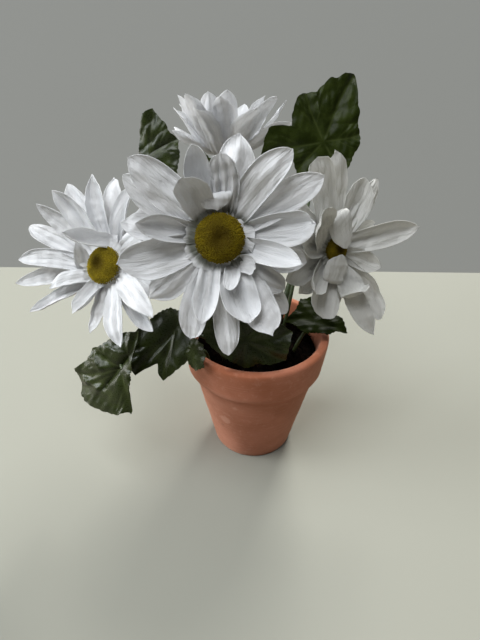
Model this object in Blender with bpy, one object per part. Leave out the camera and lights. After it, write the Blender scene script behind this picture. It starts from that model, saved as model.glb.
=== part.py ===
"""An artificial daisy bush in a small clay pot, as separate solids.

Four silk flower heads on wire-cored stems stand in packed moss, with lobed fabric leaves on stalks.
Each head is a green calyx cup, three die-cut petal sheets and a domed centre. Sizes are in
millimetres and become metres where a mesh is made. The origin is the centre of the pot's foot.
"""
import math
from typing import NamedTuple

import bmesh
import bpy
import numpy as np
from mathutils import Matrix

MM = 0.001
CLEARANCE = 0.3  # left between pieces that touch

# Clay pot
POT_HEIGHT = 77.0
RIM_RADIUS = 39.5
COLLAR_HEIGHT = 20.0
COLLAR_FOOT_RADIUS = 37.7
BODY_TOP_RADIUS = 35.0
FOOT_RADIUS = 23.5
WALL = 4.5
FLOOR = 6.0
FOOT_ROUND = 1.0
COLLAR_ROUND = 0.8
RIM_ROUND = 1.4
COLLAR_FOOT = POT_HEIGHT - COLLAR_HEIGHT
INNER_RIM = RIM_RADIUS - WALL
INNER_STEP = INNER_RIM - 2.2  # inside radius level with the collar's foot
INNER_FOOT = FOOT_RADIUS - WALL + 0.5
POT_STEPS = 48

# Packed moss
MOSS_LEVEL = 67.0
MOSS_MOUND = 3.0
MOSS_GAP = 1.3 * CLEARANCE
MOSS_STEPS = 32
SOCKET_DEPTH = 10.0
SOCKET_PLAY = CLEARANCE + 0.15
SOCKET_MOUTH = 12.0

# Fabric and wire
SHEET = 0.5
HUB_RADIUS = 6.0
HUB_ROOT = 1.1
SHEET_STEP = SHEET + CLEARANCE
PETAL_ROWS = 5
PETAL_COLUMNS = 2
PETAL_NARROWING = 0.86
PETAL_WIDEST = 0.56  # share of the length at which a petal is widest
PETAL_TIP = 0.5
LEAF_RINGS = (0.4, 0.75, 1.0)
STEM_RADIUS = 1.6
STEM_RISE = 6.0
STEM_POINTS = 8
STEM_SIDES = 8
STALK_RADIUS = 1.1
STALK_RISE = 3.0
STALK_POINTS = 7
STALK_SIDES = 6
CALYX_RADIUS = 6.4
CALYX_HEIGHT = 9.0
CENTRE_RADIUS = 11.0
CENTRE_DOME = 5.5
CENTRE_BUTTON = 4.0  # height of the button under the dome
DOME_ANGLES = (0, 22, 45, 68)


class Petal(NamedTuple):
    """One petal: where it points, its size, and how it stands. Lengths in mm, angles in degrees."""

    clock: float
    length: float
    width: float
    lift: float
    curl: float = 0.0
    cup: float = 20.0
    twist: float = 0.0
    blunt: float = 0.3


class Head(NamedTuple):
    """A flower head: its hub, the way it faces, and the petals of its three sheets."""

    hub: tuple
    facing: tuple
    back: tuple
    middle: tuple
    front: tuple
    stem_foot: tuple


class Leaf(NamedTuple):
    """A lobed leaf. The outline is (angle clockwise from the midrib, reach in mm) about the vein hub."""

    hub: tuple
    midrib: tuple
    facing: tuple
    outline: tuple
    fold: float
    droop: float
    stalk_foot: tuple
    stalk_lean: tuple
    stalk_way: tuple


FRONT = Head(
    (-18, -19, 138.5), (0.05, -0.91, 0.41),
    back=(
        Petal(14, 37, 13, 10), Petal(59, 45, 14, 9), Petal(108, 34, 13, -2), Petal(140, 39, 12, -4),
        Petal(177, 45, 12, 4, cup=30), Petal(229, 34, 14, 2, twist=15, blunt=0.5), Petal(276, 36, 13, -3),
        Petal(301, 41, 13, 6)),
    middle=(
        Petal(38, 41, 14, 17), Petal(84, 37, 15, 12, -8, 15, blunt=0.9), Petal(127, 30, 10, 3, blunt=0.8),
        Petal(155, 42, 12, 17), Petal(200, 40, 13, 12, blunt=0.7), Petal(259, 39, 17, 13),
        Petal(311, 43, 16, 18), Petal(344, 35, 13, 18, 6, 45, blunt=0.6)),
    front=(
        Petal(2, 28, 10, 28, cup=15), Petal(104, 32, 11, 24, -10, 25),
        Petal(135, 14, 7, 34, 30, 40, blunt=0.9), Petal(165, 33, 15, 24, blunt=0.8),
        Petal(193, 32, 9, 14, cup=25, blunt=0.5), Petal(284, 31, 13, 22),
        Petal(333, 28, 12, 42, cup=10, blunt=0.8)),
    stem_foot=(-4, -6))
LEFT = Head(
    (-72, 1, 114.5), (-0.42, -0.69, 0.59),
    back=(
        Petal(332, 43, 15, -4, blunt=0.5), Petal(306, 45, 13, 12), Petal(275, 47, 13, 14, cup=45),
        Petal(241, 48, 12, 16), Petal(178, 30, 10, 3), Petal(120, 42, 13, 8), Petal(65, 40, 13, 2),
        Petal(20, 38, 13, -2)),
    middle=(
        Petal(322, 45, 10, 12, cup=50), Petal(291, 45, 13, 22, cup=40), Petal(257, 46, 13, 27, cup=30),
        Petal(223, 44, 10, 22), Petal(139, 42, 13, 24), Petal(95, 38, 13, 12), Petal(45, 38, 13, 10),
        Petal(0, 36, 13, 8)),
    front=(
        Petal(300, 43, 14, 32), Petal(241, 33, 11, 33), Petal(192, 28, 12, 22), Petal(113, 39, 14, 26),
        Petal(55, 21, 13, 38), Petal(268, 21, 12, 52), Petal(332, 24, 14, 56, 40)),
    stem_foot=(-10, 2))
RIGHT = Head(
    (38, 12, 119), (0.55, -0.78, 0.30),
    back=(
        Petal(3, 41, 13, 6, blunt=0.7), Petal(56, 45, 12, -4), Petal(80, 28, 10, -6),
        Petal(114, 39, 12, -6), Petal(147, 45, 14, 8, cup=30, blunt=0.7), Petal(190, 26, 13, 2),
        Petal(238, 24, 13, 0), Petal(290, 38, 13, -2)),
    middle=(
        Petal(346, 44, 13, 15, blunt=0.9), Petal(42, 37, 18, 3), Petal(88, 48, 13, 15),
        Petal(125, 30, 12, 14), Petal(163, 45, 14, 15), Petal(212, 30, 16, 14, blunt=0.9),
        Petal(262, 30, 15, 12), Petal(315, 38, 13, 8)),
    front=(
        Petal(238, 26, 13, 24), Petal(172, 26, 18, 26, 24, 50, blunt=0.9),
        Petal(2, 22, 16, 44, 80, 20, blunt=1.0), Petal(326, 26, 10, 36), Petal(292, 26, 13, 26),
        Petal(100, 20, 10, 34)),
    stem_foot=(9, 3))
BACK = Head(
    (-19, 75, 149), (0.0, 0.30, 0.95),
    back=(
        Petal(20, 38, 13, 33, cup=25), Petal(70, 28, 13, 24), Petal(115, 34, 13, 30),
        Petal(160, 40, 13, 36), Petal(205, 40, 13, 38), Petal(245, 40, 13, 32), Petal(290, 38, 17, 34),
        Petal(335, 39, 14, 38, cup=30)),
    middle=(
        Petal(0, 38, 14, 50, cup=25), Petal(32, 41, 13, 47, cup=25), Petal(85, 34, 13, 48),
        Petal(135, 40, 13, 46), Petal(180, 42, 13, 48), Petal(225, 42, 13, 48), Petal(268, 42, 13, 46),
        Petal(314, 42, 15, 47, cup=30)),
    front=(
        Petal(354, 37, 10, 64), Petal(22, 36, 10, 58), Petal(65, 37, 13, 60), Petal(110, 36, 13, 60),
        Petal(155, 38, 13, 60), Petal(205, 38, 13, 60), Petal(255, 36, 13, 60), Petal(305, 36, 13, 60)),
    stem_foot=(-2, 10))

HEADS = {"front": FRONT, "left": LEFT, "right": RIGHT, "back": BACK}

LEAVES = {
    "upper_right": Leaf(
        (35, 57, 161), (0.0, 0.57, 0.82), (0.15, -0.87, 0.46),
        ((-165, 12), (-148, 22), (-125, 19), (-114, 20), (-104, 35), (-80, 32), (-70, 25), (-61, 19),
         (-34, 26), (-20, 29), (-6, 27), (5, 35), (12, 34), (23, 43), (33, 34), (48, 28), (61, 21),
         (78, 21), (104, 20), (118, 17), (140, 19), (158, 13)),
        0.10, 0.002, (14, 10), (0.20, 0.25, 1.0), (0.1, 0.5, 0.86)),
    "upper_left": Leaf(
        (-60, 54, 152), (0.0, 0.50, 0.87), (-0.30, -0.88, 0.36),
        ((-172, 14), (-132, 13), (-90, 9), (-62, 8), (-40, 10), (-15, 17), (6, 26), (18, 22), (32, 20),
         (44, 22), (62, 19), (94, 17), (132, 17), (160, 13)),
        -0.30, 0.002, (-12, 14), (-0.25, 0.25, 1.0), (-0.3, 0.35, 0.88)),
    "low_left": Leaf(
        (-66, -34, 76), (0.0, 0.57, 0.82), (-0.40, -0.80, 0.40),
        ((44, 16), (28, 21), (6, 18), (-30, 16), (-52, 18), (-66, 22), (-84, 24), (-98, 36), (-106, 34),
         (-113, 38), (-124, 36), (-140, 30), (-165, 25), (176, 22), (168, 15), (139, 8), (75, 8)),
        0.0, 0.006, (-19, 3), (-0.15, 0.4, 1.0), (1.0, -0.3, -0.5)),
    "mid_left": Leaf(
        (-41, -15, 87), (0.0, 0.57, 0.82), (-0.20, -0.75, 0.62),
        ((-67, 13), (-40, 12), (-16, 11), (15, 9), (40, 8), (85, 9), (124, 10), (152, 17), (180, 22),
         (-166, 26), (-157, 24), (-151, 20), (-144, 26), (-137, 31), (-128, 25), (-112, 17), (-93, 12)),
        0.08, 0.003, (-14, -14), (-0.30, 0.0, 1.0), (-0.8, 0.2, 0.1)),
    "front": Leaf(
        (-6, -26, 88), (0.0, 0.57, 0.82), (0.0, -0.93, 0.36),
        ((0, 22), (-32, 22), (-58, 27), (-68, 24), (-90, 19), (-116, 14), (-150, 12), (180, 14),
         (150, 13), (132, 17), (116, 22), (96, 21), (78, 23), (55, 18), (38, 22)),
        0.12, 0.004, (-2, -18), (0.0, -0.1, 1.0), (0.0, -0.2, 0.9)),
    "rim": Leaf(
        (-31, -28, 84), (0.0, 0.57, 0.82), (-0.60, -0.75, 0.28),
        ((0, 6), (-45, 4), (-100, 5), (-148, 8), (-172, 11), (148, 10), (106, 8), (66, 7), (30, 6)),
        0.0, 0.004, (-22, -17), (-0.2, -0.2, 1.0), (-0.5, -0.4, 0.6)),
    "right": Leaf(
        (31, -3, 85), (0.0, 0.93, 0.35), (0.10, -0.30, 0.95),
        ((0, 16), (35, 18), (58, 13), (80, 15), (108, 18), (125, 12), (150, 11), (180, 8), (-150, 11),
         (-120, 12), (-90, 16), (-55, 12), (-25, 16)),
        0.0, 0.004, (18, -6), (0.25, -0.1, 1.0), (0.6, 0.1, 0.5)),
    "between": Leaf(
        (-30, 50, 145), (0.0, 0.40, 0.92), (0.0, -0.92, 0.40),
        ((0, 12), (-25, 9), (-45, 13), (-75, 9), (-110, 12), (-150, 8), (180, 10), (150, 8), (110, 12),
         (75, 9), (45, 13), (25, 9)),
        0.0, 0.003, (-7, 19), (-0.1, 0.2, 1.0), (-0.2, 0.3, 0.9)),
    "low_back": Leaf(
        (3, 53, 91), (0.2, 0.80, -0.60), (0.0, 0.60, 0.80),
        ((0, 30), (-18, 22), (-40, 27), (-62, 17), (-85, 24), (-120, 16), (-160, 12), (160, 12),
         (120, 16), (85, 24), (62, 17), (40, 27), (18, 22)),
        0.10, 0.006, (7, 21), (0.0, 0.3, 1.0), (-0.3, 0.6, 0.4)),
}

FABRIC_WHITE = ((0.80, 0.81, 0.83), 0.75)
FABRIC_GREEN = ((0.045, 0.070, 0.022), 0.55)
STEM_GREEN = ((0.050, 0.080, 0.025), 0.50)
CENTRE_YELLOW = ((0.33, 0.26, 0.020), 0.85)
CLAY = ((0.56, 0.25, 0.17), 0.85)
MOSS_BROWN = ((0.030, 0.022, 0.015), 0.95)


def material(name, finish):
    """A Principled material of one colour and roughness, not metallic."""
    colour, roughness = finish
    made = bpy.data.materials.new(name)
    made.use_nodes = True
    shader = made.node_tree.nodes["Principled BSDF"]
    shader.inputs["Base Color"].default_value = (*colour, 1.0)
    shader.inputs["Roughness"].default_value = roughness
    shader.inputs["Metallic"].default_value = 0.0
    made.diffuse_color = (*colour, 1.0)
    return made


def placed(name, mesh, finish):
    """Puts a smooth-shaded mesh in the scene under a name, with its own material."""
    obj = bpy.data.objects.new(name, mesh)
    bpy.context.scene.collection.objects.link(obj)
    mesh.materials.append(material(name, finish))
    mesh.shade_smooth()
    mesh.set_sharp_from_angle(angle=math.radians(40))
    return obj


def unit(vector):
    vector = np.asarray(vector, float)
    return vector / np.linalg.norm(vector)


def ease(x):
    """A ramp from 0 to 1 with level ends."""
    x = np.clip(x, 0.0, 1.0)
    return x * x * (3.0 - 2.0 * x)


def axes(facing, top=(0.0, 0.0, 1.0)):
    """Up, right and forward for something that faces a way, up being as near to top as it can."""
    forward = unit(facing)
    top = np.asarray(top, float)
    up = unit(top - (top @ forward) * forward)
    return up, np.cross(up, forward), forward


# ---------------------------------------------------------------- turned pieces


def turned_mesh(name, profile, steps):
    """Spins a closed profile of (radius, height) in mm about Z. Points on the axis merge."""
    mesh = bpy.data.meshes.new(name)
    bm = bmesh.new()
    points = [bm.verts.new((radius * MM, 0.0, height * MM)) for radius, height in profile]
    edges = [bm.edges.new(pair) for pair in zip(points, points[1:])]
    if profile[-1][0] > 0.0:
        edges.append(bm.edges.new((points[-1], points[0])))
    bmesh.ops.spin(
        bm, geom=points + edges, cent=(0, 0, 0), axis=(0, 0, 1), angle=math.tau, steps=steps,
        use_merge=True)
    bmesh.ops.remove_doubles(bm, verts=bm.verts, dist=1e-6)
    bmesh.ops.recalc_face_normals(bm, faces=bm.faces)
    bm.to_mesh(mesh)
    bm.free()
    return mesh


def make_pot():
    """The clay pot: a tapered body with a deeper collar, rounded rim edges and a closed foot."""
    profile = (
        (0.0, 0.0), (FOOT_RADIUS - FOOT_ROUND, 0.0), (FOOT_RADIUS, FOOT_ROUND),
        (BODY_TOP_RADIUS, COLLAR_FOOT), (COLLAR_FOOT_RADIUS - COLLAR_ROUND, COLLAR_FOOT),
        (COLLAR_FOOT_RADIUS, COLLAR_FOOT + COLLAR_ROUND), (RIM_RADIUS, POT_HEIGHT - RIM_ROUND),
        (RIM_RADIUS - 0.3 * RIM_ROUND, POT_HEIGHT - 0.3 * RIM_ROUND), (RIM_RADIUS - RIM_ROUND, POT_HEIGHT),
        (INNER_RIM + RIM_ROUND, POT_HEIGHT), (INNER_RIM + 0.3 * RIM_ROUND, POT_HEIGHT - 0.3 * RIM_ROUND),
        (INNER_RIM, POT_HEIGHT - RIM_ROUND), (INNER_STEP, COLLAR_FOOT), (INNER_FOOT, FLOOR), (0.0, FLOOR))
    placed("pot", turned_mesh("pot", profile, POT_STEPS), CLAY)


def pot_inside(height):
    """The pot's inner radius at a height."""
    heights = (FLOOR, COLLAR_FOOT, POT_HEIGHT - RIM_ROUND)
    return float(np.interp(height, heights, (INNER_FOOT, INNER_STEP, INNER_RIM)))


def make_moss():
    """The packed moss that fills the pot, mounded, with a socket for every stem and stalk."""
    low = FLOOR + CLEARANCE
    edge = pot_inside(MOSS_LEVEL) - MOSS_GAP
    mound = [
        (edge * share, MOSS_LEVEL + MOSS_MOUND * (1.0 - share * share))
        for share in (0.75, 0.5, 0.25, 0.0)]
    profile = [
        (0.0, low), (pot_inside(low) - MOSS_GAP, low), (INNER_STEP - MOSS_GAP, COLLAR_FOOT),
        (edge, MOSS_LEVEL), *mound]
    moss = placed("moss", turned_mesh("moss", profile, MOSS_STEPS), MOSS_BROWN)
    for number, (foot, lean, radius) in enumerate(sockets()):
        cutter = socket_cutter(f"socket_{number}", foot, lean, radius)
        cut = moss.modifiers.new(cutter.name, "BOOLEAN")
        cut.operation = "DIFFERENCE"
        cut.solver = "EXACT"
        cut.object = cutter


def sockets():
    """Foot, direction and radius of every stem and stalk that stands in the moss."""
    for head in HEADS.values():
        yield head.stem_foot, stem_start(head.stem_foot), STEM_RADIUS
    for leaf in LEAVES.values():
        yield leaf.stalk_foot, leaf.stalk_lean, STALK_RADIUS


def socket_cutter(name, foot, lean, radius):
    """A bored cylinder around a foot, a little wider and deeper than what stands in it."""
    bottom = np.asarray((*foot, MOSS_LEVEL - SOCKET_DEPTH), float) - unit(lean) * 1.0
    top = bottom + unit(lean) * (SOCKET_DEPTH + SOCKET_MOUTH)
    mesh = tube_mesh(name, (bottom, top), radius + SOCKET_PLAY, 10)
    cutter = bpy.data.objects.new(name, mesh)
    bpy.context.scene.collection.objects.link(cutter)
    cutter.hide_render = True
    cutter.display_type = "WIRE"
    return cutter


# ---------------------------------------------------------------- stems and stalks


def bezier(start, near, far, end, count):
    """Points along a cubic curve."""
    share = np.linspace(0.0, 1.0, count)[:, None]
    rest = 1.0 - share
    start, near, far, end = (np.asarray(point, float) for point in (start, near, far, end))
    return rest ** 3 * start + 3 * rest ** 2 * share * near + 3 * rest * share ** 2 * far + share ** 3 * end


def tube_mesh(name, path, radius, sides):
    """A round tube along a path in mm, with a cap at each end."""
    path = np.asarray(path, float)
    ways = np.gradient(path, axis=0)
    mesh = bpy.data.meshes.new(name)
    bm = bmesh.new()
    rings = []
    across = axes(ways[0], (1.0, 0.0, 0.0))[0]
    for point, way in zip(path, ways):
        way = unit(way)
        across = unit(across - (across @ way) * way)
        aside = np.cross(way, across)
        turns = [math.tau * side / sides for side in range(sides)]
        rings.append([
            bm.verts.new((point + radius * (math.cos(turn) * across + math.sin(turn) * aside)) * MM)
            for turn in turns])
    for lower, upper in zip(rings, rings[1:]):
        for side in range(sides):
            after = (side + 1) % sides
            bm.faces.new((lower[side], lower[after], upper[after], upper[side]))
    bm.faces.new(rings[0][::-1])
    bm.faces.new(rings[-1])
    bmesh.ops.recalc_face_normals(bm, faces=bm.faces)
    bm.to_mesh(mesh)
    bm.free()
    return mesh


def stem_start(foot):
    """The way a stem leaves the moss: mostly up, leaning out from the middle."""
    return unit((foot[0] * 0.02, foot[1] * 0.02, 1.0))


def stem_path(head):
    """A stem's curve, from its socket to just under its head's calyx."""
    forward = unit(head.facing)
    foot = np.asarray((*head.stem_foot, MOSS_LEVEL - SOCKET_DEPTH), float)
    end = np.asarray(head.hub, float) - forward * (SHEET + CALYX_HEIGHT + 2.0 * CLEARANCE)
    reach = np.linalg.norm(end - foot)
    straight = foot + stem_start(head.stem_foot) * (SOCKET_DEPTH + STEM_RISE)
    curve = bezier(straight, straight + stem_start(head.stem_foot) * reach * 0.35,
                   end - forward * reach * 0.30, end, STEM_POINTS)
    return np.vstack([foot[None], curve])


def stalk_path(leaf):
    """A leaf stalk's curve, from its socket to just behind the leaf's vein hub."""
    forward = unit(leaf.facing)
    way = unit(unit(leaf.stalk_way) + 0.6 * forward)
    lean = unit(leaf.stalk_lean)
    foot = np.asarray((*leaf.stalk_foot, MOSS_LEVEL - SOCKET_DEPTH), float)
    tilt = math.sqrt(1.0 - float(way @ forward) ** 2) + max(-leaf.fold, 0.0)
    end = np.asarray(leaf.hub, float) - forward * (SHEET / 2 + CLEARANCE + STALK_RADIUS * tilt)
    reach = np.linalg.norm(end - foot)
    straight = foot + lean * (SOCKET_DEPTH + STALK_RISE)
    curve = bezier(straight, straight + lean * reach * 0.3, end - way * reach * 0.3, end, STALK_POINTS)
    return np.vstack([foot[None], curve])


# ---------------------------------------------------------------- petals


def base_angles(petals, least=21.0):
    """Where each petal leaves the hub: its own direction, with neighbours spread to a least spacing."""
    order = sorted(petals, key=lambda petal: petal.clock)
    base = [petal.clock for petal in order]
    count = len(base)
    for _ in range(400):
        for here in range(count):
            after = (here + 1) % count
            gap = base[after] - base[here] + (360.0 if after == 0 else 0.0)
            if gap < least:
                base[here] -= (least - gap) / 2
                base[after] += (least - gap) / 2
    return list(zip(order, base))


def half_width(share, petal):
    """Half a petal's width along its length: a narrow root, widest past the middle, then the tip."""
    half = petal.width / 2 * PETAL_NARROWING
    grow = HUB_ROOT + (half - HUB_ROOT) * np.sin(np.pi / 2 * np.clip(share / PETAL_WIDEST, 0, 1)) ** 1.4
    past = np.clip((share - PETAL_WIDEST) / (1 - PETAL_WIDEST), 0, 1)
    fall = half * np.maximum(1 - past ** (2.0 + 2.0 * petal.blunt), 0.0) ** (0.95 - 0.5 * petal.blunt)
    return np.maximum(np.where(share < PETAL_WIDEST, grow, fall), PETAL_TIP)


def petal_grid(head, petal, base, rise):
    """Points over a petal, row by row from the hub's edge to the tip."""
    up, right, forward = axes(head.facing)
    fine = 12
    share = np.linspace(0, 1, PETAL_ROWS * fine + 1)
    slope = np.radians(petal.lift) * ease(share / 0.25) + np.radians(petal.curl) * share ** 2
    turn = np.radians(base) + np.radians(petal.clock - base) * ease(share / 0.4)
    radial = np.cos(turn)[:, None] * up + np.sin(turn)[:, None] * right
    along = np.cos(slope)[:, None] * radial + np.sin(slope)[:, None] * forward
    path = np.zeros((len(share), 3))
    path[1:] = np.cumsum((along[1:] + along[:-1]) / 2, 0) * petal.length / (PETAL_ROWS * fine)
    path += np.asarray(head.hub, float) + rise * forward + HUB_RADIUS * radial[0]
    share, slope, turn, radial, path = (values[::fine] for values in (share, slope, turn, radial, path))
    side = -np.sin(turn)[:, None] * up + np.cos(turn)[:, None] * right
    normal = -np.sin(slope)[:, None] * radial + np.cos(slope)[:, None] * forward
    roll = np.radians(petal.twist) * ease(share)[:, None]
    flat = side
    side = np.cos(roll) * flat + np.sin(roll) * normal
    normal = np.cos(roll) * normal - np.sin(roll) * flat
    half = half_width(share, petal)
    bend = np.radians(petal.cup) * ease(share / 0.35) + 1e-6
    columns = []
    for across in np.linspace(-1, 1, PETAL_COLUMNS + 1):
        out = half * np.sin(bend * across) / bend
        raised = half * (1 - np.cos(bend * across)) / bend
        columns.append(path + out[:, None] * side + raised[:, None] * normal)
    return np.stack(columns, axis=1)


def make_petal_sheet(name, head, petals, rise):
    """One die-cut sheet: a flat hub with all its petals, thickened to a closed solid."""
    mesh = bpy.data.meshes.new(name)
    bm = bmesh.new()
    rim = []
    for petal, base in base_angles(petals):
        grid = petal_grid(head, petal, base, rise)
        rows = [[bm.verts.new(point * MM) for point in row] for row in grid]
        for near, far in zip(rows, rows[1:]):
            for here in range(PETAL_COLUMNS):
                bm.faces.new((near[here], near[here + 1], far[here + 1], far[here]))
        rim.extend(rows[0])
    hub = bm.verts.new((np.asarray(head.hub, float) + rise * unit(head.facing)) * MM)
    for here, after in zip(rim, rim[1:] + rim[:1]):
        bm.faces.new((hub, after, here))
    bmesh.ops.recalc_face_normals(bm, faces=bm.faces)
    bm.to_mesh(mesh)
    bm.free()
    sheet = placed(name, mesh, FABRIC_WHITE)
    thicken(sheet)


def thicken(sheet):
    """Gives a sheet its thickness, half to each side."""
    solid = sheet.modifiers.new("thickness", "SOLIDIFY")
    solid.thickness = SHEET * MM
    solid.offset = 0.0


# ---------------------------------------------------------------- calyx and centre


def stand_on(obj, hub, facing, along):
    """Places a turned piece on a head's axis, a distance in front of its hub."""
    up, right, forward = axes(facing)
    obj.location = (np.asarray(hub, float) + along * forward) * MM
    obj.rotation_euler = Matrix(np.stack([right, up, forward], axis=1).tolist()).to_euler()


def make_calyx(name, head):
    """The green cup that holds the petal sheets on the stem."""
    top = -(SHEET / 2 + CLEARANCE)
    profile = (
        (0.0, top - CALYX_HEIGHT), (2.2, top - CALYX_HEIGHT), (2.8, top - CALYX_HEIGHT + 3.0),
        (4.6, top - 3.6), (CALYX_RADIUS, top - 0.8), (CALYX_RADIUS - 0.3, top), (0.0, top))
    calyx = placed(name, turned_mesh(name, profile, 16), STEM_GREEN)
    stand_on(calyx, head.hub, head.facing, 0.0)


def make_centre(name, head):
    """The domed centre: a button whose underside rises to clear the petals."""
    base = 2 * SHEET_STEP + SHEET / 2 + CLEARANCE
    rim = base + CENTRE_BUTTON
    dome = [
        (CENTRE_RADIUS * math.cos(angle), rim + CENTRE_DOME * math.sin(angle))
        for angle in (math.radians(degrees) for degrees in DOME_ANGLES)]
    profile = [
        (0.0, base), (3.6, base), (7.2, base + 1.4), (10.2, rim - 0.8), *dome,
        (0.0, rim + CENTRE_DOME)]
    centre = placed(name, turned_mesh(name, profile, 20), CENTRE_YELLOW)
    stand_on(centre, head.hub, head.facing, 0.0)


# ---------------------------------------------------------------- leaves


def leaf_point(leaf, angle, reach):
    """A point of a leaf's sheet, folded along the midrib and drooping toward its edge."""
    up, right, forward = axes(leaf.facing, leaf.midrib)
    across = reach * math.sin(math.radians(angle))
    along = reach * math.cos(math.radians(angle))
    height = leaf.fold * abs(across) - leaf.droop * reach * reach
    return np.asarray(leaf.hub, float) + across * right + along * up + height * forward


def make_leaf(name, leaf):
    """A leaf blade: rings of points about the vein hub, thickened to a closed solid."""
    mesh = bpy.data.meshes.new(name)
    bm = bmesh.new()
    rings = [
        [bm.verts.new(leaf_point(leaf, angle, reach * share) * MM) for angle, reach in leaf.outline]
        for share in LEAF_RINGS]
    hub = bm.verts.new(leaf_point(leaf, 0.0, 0.0) * MM)
    count = len(leaf.outline)
    for here in range(count):
        after = (here + 1) % count
        bm.faces.new((hub, rings[0][here], rings[0][after]))
        for inner, outer in zip(rings, rings[1:]):
            bm.faces.new((inner[here], outer[here], outer[after], inner[after]))
    bmesh.ops.recalc_face_normals(bm, faces=bm.faces)
    bm.to_mesh(mesh)
    bm.free()
    blade = placed(name, mesh, FABRIC_GREEN)
    thicken(blade)


def build():
    """Clears the scene and makes every piece."""
    for obj in list(bpy.data.objects):
        bpy.data.objects.remove(obj, do_unlink=True)
    make_pot()
    make_moss()
    for name, head in HEADS.items():
        stem = tube_mesh(f"stem_{name}", stem_path(head), STEM_RADIUS, STEM_SIDES)
        placed(f"stem_{name}", stem, STEM_GREEN)
        make_calyx(f"calyx_{name}", head)
        for layer, petals in enumerate((head.back, head.middle, head.front)):
            sheet = ("back", "middle", "front")[layer]
            make_petal_sheet(f"petals_{sheet}_{name}", head, petals, layer * SHEET_STEP)
        make_centre(f"centre_{name}", head)
    for name, leaf in LEAVES.items():
        stalk = tube_mesh(f"stalk_{name}", stalk_path(leaf), STALK_RADIUS, STALK_SIDES)
        placed(f"stalk_{name}", stalk, STEM_GREEN)
        make_leaf(f"leaf_{name}", leaf)


build()
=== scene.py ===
"""Looks for an artificial daisy bush in a small clay pot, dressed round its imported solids.

Sizes are in millimetres and become metres where a mesh is shaped. The origin is the centre of the
pot's foot, +Z is up and the largest flower head faces -Y.
"""
import logging
import math
from dataclasses import dataclass
from enum import Enum
from typing import Any, Callable, Iterable, Sequence

import bpy
import numpy as np
from mathutils import Matrix, Vector


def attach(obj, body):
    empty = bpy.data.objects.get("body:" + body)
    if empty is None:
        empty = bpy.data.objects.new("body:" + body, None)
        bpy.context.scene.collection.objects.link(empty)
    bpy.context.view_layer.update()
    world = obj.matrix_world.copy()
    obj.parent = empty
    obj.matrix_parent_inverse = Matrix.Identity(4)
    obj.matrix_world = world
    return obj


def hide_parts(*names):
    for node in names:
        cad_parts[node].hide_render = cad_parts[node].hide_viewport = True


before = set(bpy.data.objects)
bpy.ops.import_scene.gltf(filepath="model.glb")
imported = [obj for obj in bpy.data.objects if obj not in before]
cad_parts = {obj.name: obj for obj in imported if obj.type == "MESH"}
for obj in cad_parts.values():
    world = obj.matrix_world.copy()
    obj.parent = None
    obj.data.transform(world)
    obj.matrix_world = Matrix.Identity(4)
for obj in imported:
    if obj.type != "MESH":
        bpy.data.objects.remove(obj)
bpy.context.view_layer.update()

log = logging.getLogger("daisy")

MM = 0.001  # metres to a millimetre
BODY = "root"
MOSS_TOP = 67.0  # the top of the moss's solid
SOCKET = 10.0  # how deep a stem stands below it
UV_UNIT = 10.0  # mm of cloth to one unit of its map
WELD = 0.00002  # metres; closer points of a seam are merged
TINY = 1e-6  # keeps a divisor off zero
CLOTH_EDGE = 60.0  # degrees; a sharper edge stays sharp
THROAT_SEED = 40  # these are added to a piece's own seed
CENTRE_SEED = 70
LEAF_SEED = 20

Triple = tuple[float, float, float]
Pair = tuple[float, float]
Mark = tuple[Triple, float]
Path = Sequence[Sequence[float]]


# ================================================================ small sums


def unit(vector: Sequence[float]) -> np.ndarray:
    """Scales a vector to length one.

    Args:
        vector: Any vector that isn't zero.

    Returns:
        The same direction with length one.
    """
    vector = np.asarray(vector, float)
    return vector / np.linalg.norm(vector)


def ease(share: float | np.ndarray) -> float | np.ndarray:
    """A ramp from 0 to 1 with level ends.

    Args:
        share: A number or an array; what lies outside 0 to 1 is clipped.

    Returns:
        The eased share, of the same shape.
    """
    share = np.clip(share, 0.0, 1.0)
    return share * share * (3.0 - 2.0 * share)


def axes(facing: Sequence[float], top: Sequence[float] = (0.0, 0.0, 1.0)) -> tuple[np.ndarray, ...]:
    """Directions for something that faces a way.

    Args:
        facing: The way it faces.
        top: What its up comes as near to as it can.

    Returns:
        Up, right and forward, as unit vectors.
    """
    forward = unit(facing)
    top = np.asarray(top, float)
    up = unit(top - (top @ forward) * forward)
    return up, np.cross(up, forward), forward


def bezier(start: np.ndarray, near: np.ndarray, far: np.ndarray, end: np.ndarray,
           count: int) -> np.ndarray:
    """Points along a cubic curve.

    Args:
        start: Its first point.
        near: The handle of the first point.
        far: The handle of the last point.
        end: Its last point.
        count: How many points to give.

    Returns:
        An array of count points.
    """
    share = np.linspace(0.0, 1.0, count)[:, None]
    rest = 1.0 - share
    return rest ** 3 * start + 3 * rest ** 2 * share * near + 3 * rest * share ** 2 * far + share ** 3 * end


def wire_line(foot: Pair, start: np.ndarray, run: float, end: np.ndarray, way: np.ndarray,
              pulls: Pair, count: int) -> np.ndarray:
    """The middle line of a stem that stands in its socket in the moss.

    Args:
        foot: Where it stands.
        start: The way it leaves the moss.
        run: How far it stays straight above its socket.
        end: Its upper end.
        way: The way it arrives there.
        pulls: How long each end keeps its way, as shares of the distance.
        count: Points along its curve.

    Returns:
        The points, in mm.
    """
    low = np.asarray((*foot, MOSS_TOP - SOCKET), float)
    reach = np.linalg.norm(end - low)
    straight = low + start * (SOCKET + run)
    leaving, arriving = straight + start * reach * pulls[0], end - way * reach * pulls[1]
    return np.vstack([low[None], bezier(straight, leaving, arriving, end, count)])


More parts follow.
